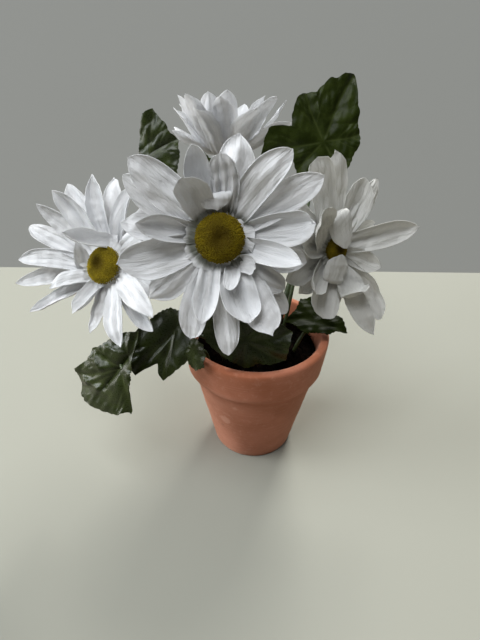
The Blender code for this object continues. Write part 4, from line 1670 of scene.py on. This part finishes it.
# What a head has that differs from FlowerHead's own values.
VARIED: dict[str, dict[str, Any]] = {
    "left": {
        "centre_radius": 9, "dome": 4.6, "button": 2.6, "throat": 12.0, "ring": 0.45,
        # painted light: a paler copy of the flock for the left head, whose disc turns towards the lamps
        "flock": Flock("flock_pale", "centre", mustard=(0.34, 0.26, 0.012), olive=(0.205, 0.155, 0.008),
                       brown=(0.070, 0.042, 0.003))},
    "right": {
        "centre_radius": 6.4, "dome": 3.2, "button": 0.6, "throat": 10.0, "ring": 0.7,
        # painted shade: a greyer copy of the white silk for the right head, which sits in shade
        "silk": Silk("silk_ivory", "petal", white=(0.79, 0.79, 0.765), valley_shade_and_streak=(0.68, 0.68, 0.655))},
    "back": {"throat": 0.0, "ring": 0.5, "silk": Silk("silk_thin", "petal", through=0.42)},
}

LEAVES: dict[str, LeafPlan] = {
    "upper_right": LeafPlan(
        (35, 57, 161), (0, 0.57, 0.82), (0.15, -0.87, 0.46),
        ((-165, 12), (-154, 18), (-142, 22), (-124, 20), (-112, 20), (-108, 36), (-94, 33), (-81, 31),
         (-74, 24), (-71, 19), (-55, 22), (-39, 26), (-31, 27), (-23, 27), (-10, 26), (-6, 28),
         (5, 34), (11, 34), (16, 38), (25, 42), (38, 29), (50, 25), (62, 21), (76, 21), (95, 20),
         (109, 18), (127, 19), (140, 20), (159, 13)),
        0.1, 0.002, (14, 10), (0.2, 0.25, 1), (0.1, 0.5, 0.86),
        ((-5, 24, -3, 14, 1.1), (-3, 14, 2, 2, 0.9), (2, 13, 17, 23, -1), (3, 9, 19, 11, -0.9))),
    "upper_left": LeafPlan(
        (-60, 54, 152), (0, 0.5, 0.87), (-0.3, -0.88, 0.36),
        ((-172, 14), (-132, 13), (-87, 7), (-47, 8), (-21, 15), (-4, 23), (6, 26), (17, 22), (32, 20),
         (37, 18), (52, 18), (59, 18), (82, 17), (97, 16), (118, 17), (135, 17), (160, 13)),
        -0.3, 0.002, (-12, 14), (-0.25, 0.25, 1), (-0.3, 0.35, 0.88),
        ((-4, 13, 5, 23, -1.2), (-4, 5, 11, 16, -1.2), (1, 3, 15, 10, -1))),
    "low_left": LeafPlan(
        (-66, -34, 76), (0, 0.57, 0.82), (-0.4, -0.8, 0.4),
        ((28, 21), (35, 16), (43, 9), (75, 7), (109, 6), (150, 9), (170, 14), (175, 20), (177, 24),
         (-177, 22), (-165, 25), (-152, 27), (-140, 30), (-123, 37), (-116, 39), (-111, 40),
         (-106, 34), (-103, 34), (-99, 37), (-94, 35), (-92, 31), (-83, 24), (-74, 22), (-65, 22),
         (-51, 17), (-22, 16), (7, 18)),
        0, 0.006, (-19, 3), (-0.15, 0.4, 1), (1, -0.3, -0.5),
        ((4, 7, -15, -12, -3), (-33, -4, -15, -12, 2.4), (-18, 10, -13, 0, 2.4), (4, 7, -8, 11, 1.4),
         (4, 7, 6, 18, 1))),
    "mid_left": LeafPlan(
        (-41, -15, 87), (0, 0.57, 0.82), (-0.2, -0.75, 0.62),
        ((-68, 14), (-88, 19), (-102, 25), (-115, 27), (-126, 30), (-138, 33), (-141, 27), (-145, 24),
         (-152, 20), (-157, 23), (-159, 25), (-166, 27), (-174, 24), (169, 19), (153, 17), (124, 10),
         (85, 9), (40, 8), (15, 9), (-16, 11), (-40, 12)),
        0.08, 0.003, (-14, -14), (-0.3, 0, 1), (-0.8, 0.2, 0.1),
        ((0, 0, -14, -16, -1.2), (0, 0, -3, -22, 0.9))),
    "front": LeafPlan(
        (-6, -26, 88), (0, 0.57, 0.82), (0, -0.93, 0.36),
        ((0, 22), (-32, 22), (-58, 27), (-68, 24), (-90, 19), (-116, 14), (-150, 12), (180, 14),
         (150, 13), (132, 17), (116, 22), (96, 21), (78, 23), (55, 18), (38, 22)),
        0.12, 0.004, (-2, -18), (0, -0.1, 1), (0, -0.2, 0.9)),
    "rim": LeafPlan(
        (-31, -28, 84), (0, 0.57, 0.82), (-0.6, -0.75, 0.28),
        ((0, 6), (-45, 4), (-100, 5), (-148, 8), (-172, 11), (148, 10), (106, 8), (66, 7), (30, 6)),
        0, 0.004, (-22, -17), (-0.2, -0.2, 1), (-0.5, -0.4, 0.6)),
    "right": LeafPlan(
        (31, -3, 85), (0, 0.93, 0.35), (0.1, -0.3, 0.95),
        ((0, 16), (35, 18), (58, 13), (80, 15), (108, 18), (125, 12), (150, 11), (180, 8), (-150, 11),
         (-120, 12), (-90, 16), (-55, 12), (-25, 16)),
        0, 0.004, (18, -6), (0.25, -0.1, 1), (0.6, 0.1, 0.5)),
    "between": LeafPlan(
        (-30, 50, 145), (0, 0.4, 0.92), (0, -0.92, 0.4),
        ((0, 12), (-25, 9), (-45, 13), (-75, 9), (-110, 12), (-150, 8), (180, 10), (150, 8), (110, 12),
         (75, 9), (45, 13), (25, 9)),
        0, 0.003, (-7, 19), (-0.1, 0.2, 1), (-0.2, 0.3, 0.9)),
    "low_back": LeafPlan(
        (3, 53, 91), (0.2, 0.8, -0.6), (0, 0.6, 0.8),
        ((0, 30), (-18, 22), (-40, 27), (-62, 17), (-85, 24), (-120, 16), (-160, 12), (160, 12),
         (120, 16), (85, 24), (62, 17), (40, 27), (18, 22)),
        0.1, 0.006, (7, 21), (0, 0.3, 1), (-0.3, 0.6, 0.4)),
}

DULL = CoatedLeaf("leaf_green_dull", "leaf", gloss=0.08)
SHADED = CoatedLeaf(
    "leaf_green_shaded", "leaf", green=(0.008, 0.012, 0.002), light=(0.014, 0.020, 0.004),
    vein=(0.026, 0.034, 0.011), gloss=0.02)
COATS: dict[str, CoatedLeaf] = {"upper_right": DULL, "right": SHADED, "between": DULL}


# ================================================================ the pot and its moss


@dataclass
class ClayPot:
    """A plain turned pot: a tapered body under a deeper collar, with a rounded rim."""

    height: float = 77.0
    rim: float = 39.5
    collar_foot: float = 57.0
    collar_foot_radius: float = 37.7
    body_top: float = 35.0
    foot: float = 23.5
    inner_rim: float = 35.0
    inner_step: float = 32.8
    inner_foot: float = 19.5
    floor: float = 6.0
    outer_round: float = 1.5
    inner_round: float = 1.4
    body_bow: float = 0.1
    sides: int = 192
    clay: Terracotta = Terracotta(
        "terracotta", "clay",
        scuffs=(((-0.0166, -0.0257, 0.033), 0.0038), ((-0.0105, -0.0303, 0.048), 0.002)),
        nicks=(((-0.0186, -0.0234, 0.026), 0.0015), ((-0.030, -0.0225, 0.0735), 0.0012)))

    def profile(self) -> list[Pair]:
        """The pot's section, from the middle of its foot over the rim to its floor.

        Returns:
            (radius, height) pairs in mm.
        """
        rim, inner, top = self.rim, self.inner_rim, self.height
        collar, wide = self.collar_foot, self.collar_foot_radius
        body_steps, collar_steps, turns = 14, 6, (22, 45, 68, 90)
        section = [(0.4, 0.0), (10.0, 0.0), (self.foot - 1.2, 0.0), (self.foot - 0.4, 0.25), (self.foot, 1.0)]
        for step in range(1, body_steps + 1):
            share = step / body_steps
            section.append((self.foot + (self.body_top - self.foot) * share - self.body_bow * (1 - share),
                            1.0 + (collar - 1.6) * share))
        section += [(self.body_top + 0.25, collar - 0.15), (self.body_top + 0.7, collar),
                    (wide - 1.0, collar), (wide - 0.35, collar + 0.2), (wide, collar + 0.9)]
        for step in range(1, collar_steps + 1):
            share = step / collar_steps
            section.append((wide + (rim - wide) * share, collar + 0.9 + (top - 2.4 - collar) * share))
        for turn in turns:
            angle = math.radians(turn)
            section.append((rim + self.outer_round * (math.cos(angle) - 1),
                            top + self.outer_round * (math.sin(angle) - 1)))
        section.append(((rim + inner) / 2, top))
        for turn in (*reversed(turns), 0):
            angle = math.radians(turn)
            section.append((inner - self.inner_round * (math.cos(angle) - 1),
                            top + self.inner_round * (math.sin(angle) - 1)))
        section += [(self.inner_step, collar), (self.inner_foot, self.floor + 1.0),
                    (self.inner_foot - 1.0, self.floor), (0.4, self.floor)]
        return section

    def build(self) -> None:
        """Throws the pot, and leaves it a shade out of true as hand-finished clay is."""
        pot = lathe(self.profile(), self.sides)
        points = read_points(pot)
        away = np.hypot(points[:, 0], points[:, 1])
        outward = points[:, :2] / np.maximum(away, TINY)[:, None]
        bulk = ease((away - 12.0) / 8.0) * ease((points[:, 2] - 1.0) / 4.0)
        slow = 0.12 * ripple(points * (1, 1, 2.2), seed=5, size=45.0)
        quick = 0.04 * ripple(points * (1, 1, 6), seed=6, size=14.0)
        points[:, :2] += outward * ((slow + quick) * bulk)[:, None]
        write_points(pot, points)
        smooth(pot, degrees=32)
        settle(pot, "clay_pot", self.clay, "pot")


@dataclass
class PackedMoss:
    """Dark fibre packed round the stems: a lumpy mound with loose strands over it."""

    radius: float = 34.2
    level: float = 66.4
    mound: float = 2.6
    depth: float = 12.0
    undercut: float = 1.4
    edge_drop: float = 1.2
    strands: int = 620
    strand_points: int = 7
    seed: int = 11
    fibre: MossFibre = MossFibre("moss_brown", "moss")

    def build(self) -> None:
        """Builds the mound and strews its strands."""
        whole = join([self.bed(), self.strew()])
        smooth(whole, degrees=70)
        settle(whole, "moss_bed", self.fibre, "moss")

    def bed(self) -> bpy.types.Object:
        """The lumpy mound, a flattened ball.

        Returns:
            Its mesh object.
        """
        select_only()
        bpy.ops.mesh.primitive_uv_sphere_add(segments=96, ring_count=48, radius=1.0)
        piece = bpy.context.object
        ball = read_points(piece) * MM
        away = np.hypot(ball[:, 0], ball[:, 1])
        lumps = (ripple(ball * self.radius, self.seed, size=16.0)
                 + ripple(ball * self.radius, seed=3, size=5.0) * 0.5)
        upper = ball[:, 2] > 0
        share = np.minimum(np.where(upper, np.arcsin(np.clip(away, 0, 1)) / (math.pi / 2), away), 1.0)
        reach = np.where(upper, self.radius, self.radius - self.undercut)
        wide = np.where(away > TINY, share / np.maximum(away, TINY), 0.0) * reach
        top = self.level - self.edge_drop + self.mound * (1 - share ** 2) + lumps * ease((1 - share) / 0.1)
        under = self.level - self.depth + (1 + ball[:, 2]) * (self.depth - self.edge_drop) * 0.9
        height = np.where(upper, top, under)
        write_points(piece, np.stack([ball[:, 0] * wide, ball[:, 1] * wide, height], axis=1))
        return piece

    def top(self, x: float, y: float) -> float:
        """The mound's height at a place, in mm."""
        share = min(math.hypot(x, y) / self.radius, 1.0)
        return self.level + self.mound * (1.0 - share * share)

    def strand(self, chance: np.random.RandomState) -> tuple[list[Triple], list[float]]:
        """One loose strand that wanders over the mound and turns back at its edge.

        Args:
            chance: The moss's random numbers.

        Returns:
            Its points and its radius at each, in mm.
        """
        far = (self.radius - 2.2) * math.sqrt(chance.uniform(0, 1))
        angle = chance.uniform(0, math.tau)
        place = np.array([far * math.cos(angle), far * math.sin(angle)])
        heading = chance.uniform(0, math.tau)
        bow, stride = chance.uniform(-0.30, 0.30), chance.uniform(0.8, 1.7)
        arch, thick = chance.uniform(0.1, 1.5), chance.uniform(0.14, 0.34)
        path, radii = [], []
        for number in range(self.strand_points):
            share = number / (self.strand_points - 1)
            lift = arch * math.sin(share * math.pi) + chance.uniform(-0.1, 0.1)
            path.append((*place, self.top(*place) - 0.5 + lift))
            radii.append(thick * (1.0 - 0.6 * abs(share - 0.5)))
            heading += bow
            step = np.array([math.cos(heading), math.sin(heading)]) * stride
            if np.hypot(*(place + step)) > self.radius - self.edge_drop:
                heading += math.pi / 2
                step = -place / np.hypot(*place) * stride * 0.5
            place = place + step
        return path, radii

    def strew(self) -> bpy.types.Object:
        """Strews loose strands over the mound.

        Returns:
            The mesh of all strands.
        """
        chance = np.random.RandomState(self.seed)
        return rods([self.strand(chance) for _ in range(self.strands)], sides=0)


# ================================================================ the studio


@dataclass(frozen=True)
class Backing(Finish):
    """A plain matt surface of one colour; it can be clear from behind."""

    colour: Triple
    bounce: Triple | None = None
    glow: float = 0.0
    glow_colour: Triple = (0.985, 1.02, 0.97)
    clear_back: bool = False

    def wire(self, wiring: Wiring, shader: bpy.types.Node) -> None:
        """One matt colour, and nothing at all from behind where asked.

        Args:
            wiring: The material's wiring.
            shader: Its Principled shader.
        """
        seen = wiring.node("LightPath").outputs["Is Camera Ray"]
        wiring.fill(shader, {
            "Base Color": wiring.blend(seen, self.bounce or self.colour, self.colour),
            "Roughness": 0.9, "Specular IOR Level": 0.1,
            "Emission Color": self.glow_colour, "Emission Strength": self.glow})
        if self.clear_back:
            behind = wiring.node("NewGeometry").outputs["Backfacing"]
            wiring.feed(shader.inputs["Alpha"], wiring.sum("SUBTRACT", 1.0, behind))


@dataclass(frozen=True)
class Lamp:
    """A soft square lamp: its place and size in metres, power in watts, and colour."""

    name: str
    place: Triple
    size: float
    power: float
    colour: Triple

    def build(self, aim: Triple) -> None:
        """Adds the lamp.

        Args:
            aim: The place that it points at.
        """
        select_only()
        bpy.ops.object.light_add(type="AREA", location=self.place)
        lamp = bpy.context.object
        lamp.name = self.name
        lamp.data.shape = "SQUARE"
        lamp.data.size = self.size
        lamp.data.energy = self.power
        lamp.data.color = self.colour
        lamp.rotation_euler = (Vector(aim) - Vector(self.place)).to_track_quat("-Z", "Y").to_euler()


@dataclass
class Studio:
    """A pale table before a grey wall, soft light from the upper left, and the camera."""

    eye: Triple = (-0.0088, -0.2031, 0.2226)
    pitch: float = 34.6
    roll: float = 0.7
    lens: float = 25.875
    sensor: float = 36.0
    wall: float = 0.209
    wall_middle: float = 1.4
    across: float = 3.0
    under: float = 0.0002
    aim: Triple = (0.0, 0.02, 0.10)
    air_colour: Triple = (1.0, 0.97, 0.88)
    air_level: float = 0.10
    lamps: tuple[Lamp, ...] = (
        Lamp("key_light", (-1.50, -0.05, 0.85), 0.7, 18.5, (0.91, 0.955, 1.0)),
        Lamp("low_light", (-1.20, 0.10, 0.14), 0.4, 5.0, (1.0, 0.96, 0.93)),
        Lamp("top_light", (-0.40, -0.40, 1.55), 0.9, 21.0, (0.95, 0.975, 1.0)),
        Lamp("back_light", (0.50, 1.30, 1.20), 0.6, 36.0, (1.0, 0.99, 0.96)))
    floor_finish: Backing = Backing(
        "table_pale", "clay", colour=(0.305, 0.305, 0.262), bounce=(0.23, 0.215, 0.175))
    wall_finish: Backing = Backing(
        "wall_grey", "clay", colour=(0.10, 0.10, 0.096), glow=0.215, clear_back=True)

    def build(self) -> None:
        """Builds the stage, its lights and the camera."""
        floor = self.plane("table", (0.0, 0.0, -self.under), (0.0, 0.0, 0.0), self.floor_finish)
        upright = (math.radians(90), 0.0, 0.0)
        wall = self.plane("wall", (0.0, self.wall, self.wall_middle), upright, self.wall_finish)
        wall.visible_shadow = False
        for lamp in self.lamps:
            lamp.build(self.aim)
        self.air()
        self.camera()

    def plane(self, name: str, place: Triple, turn: Triple, finish: Backing) -> bpy.types.Object:
        """Adds one flat surface of the stage.

        Args:
            name: Its name.
            place: Its middle, in metres.
            turn: Its rotation.
            finish: What it is finished in.

        Returns:
            The object.
        """
        select_only()
        bpy.ops.mesh.primitive_plane_add(size=self.across, location=place, rotation=turn)
        piece = bpy.context.object
        piece.name = name
        piece.data.materials.append(finish.material())
        return piece

    def air(self) -> None:
        """Sets the light that comes from all round."""
        world = bpy.data.worlds.new("soft_daylight")
        bpy.context.scene.world = world
        world.use_nodes = True
        backdrop = world.node_tree.nodes["Background"]
        backdrop.inputs["Color"].default_value = (*self.air_colour, 1.0)
        backdrop.inputs["Strength"].default_value = self.air_level

    def camera(self) -> None:
        """Sets the camera before and above the bush."""
        tip, lean = math.radians(self.pitch), math.radians(self.roll)
        forward = Vector((0.0, math.cos(tip), -math.sin(tip)))
        right = Vector((1.0, 0.0, 0.0))
        up = right.cross(forward)
        turned_right = right * math.cos(lean) + up * math.sin(lean)
        turned_up = up * math.cos(lean) - right * math.sin(lean)
        place = Matrix([turned_right, turned_up, -forward]).transposed().to_4x4()
        place.translation = Vector(self.eye)
        bpy.ops.object.camera_add()
        camera = bpy.context.object
        camera.name = "camera"
        camera.matrix_world = place
        camera.data.lens = self.lens
        camera.data.sensor_width = self.sensor
        camera.data.clip_start = 0.005
        bpy.context.scene.camera = camera
        bpy.context.scene.view_settings.view_transform = "Standard"


def corners(box: Sequence[Sequence[float]]) -> list[list[float]]:
    """A box's two corners as plain lists."""
    return [[float(value) for value in corner] for corner in box]


def main() -> None:
    """Builds the stage and every piece of the bush."""
    logging.basicConfig(level=logging.INFO, format="%(message)s")
    Studio().build()
    ClayPot().build()
    PackedMoss().build()
    for number, (name, plan) in enumerate(HEADS.items()):
        FlowerHead(name, plan, seed=number + 1, **VARIED.get(name, {})).build()
    for number, (name, plan) in enumerate(LEAVES.items()):
        Leaf(name, plan, seed=number + LEAF_SEED, coat=COATS.get(name, Leaf.coat)).build()


if __name__ == "__main__":
    main()
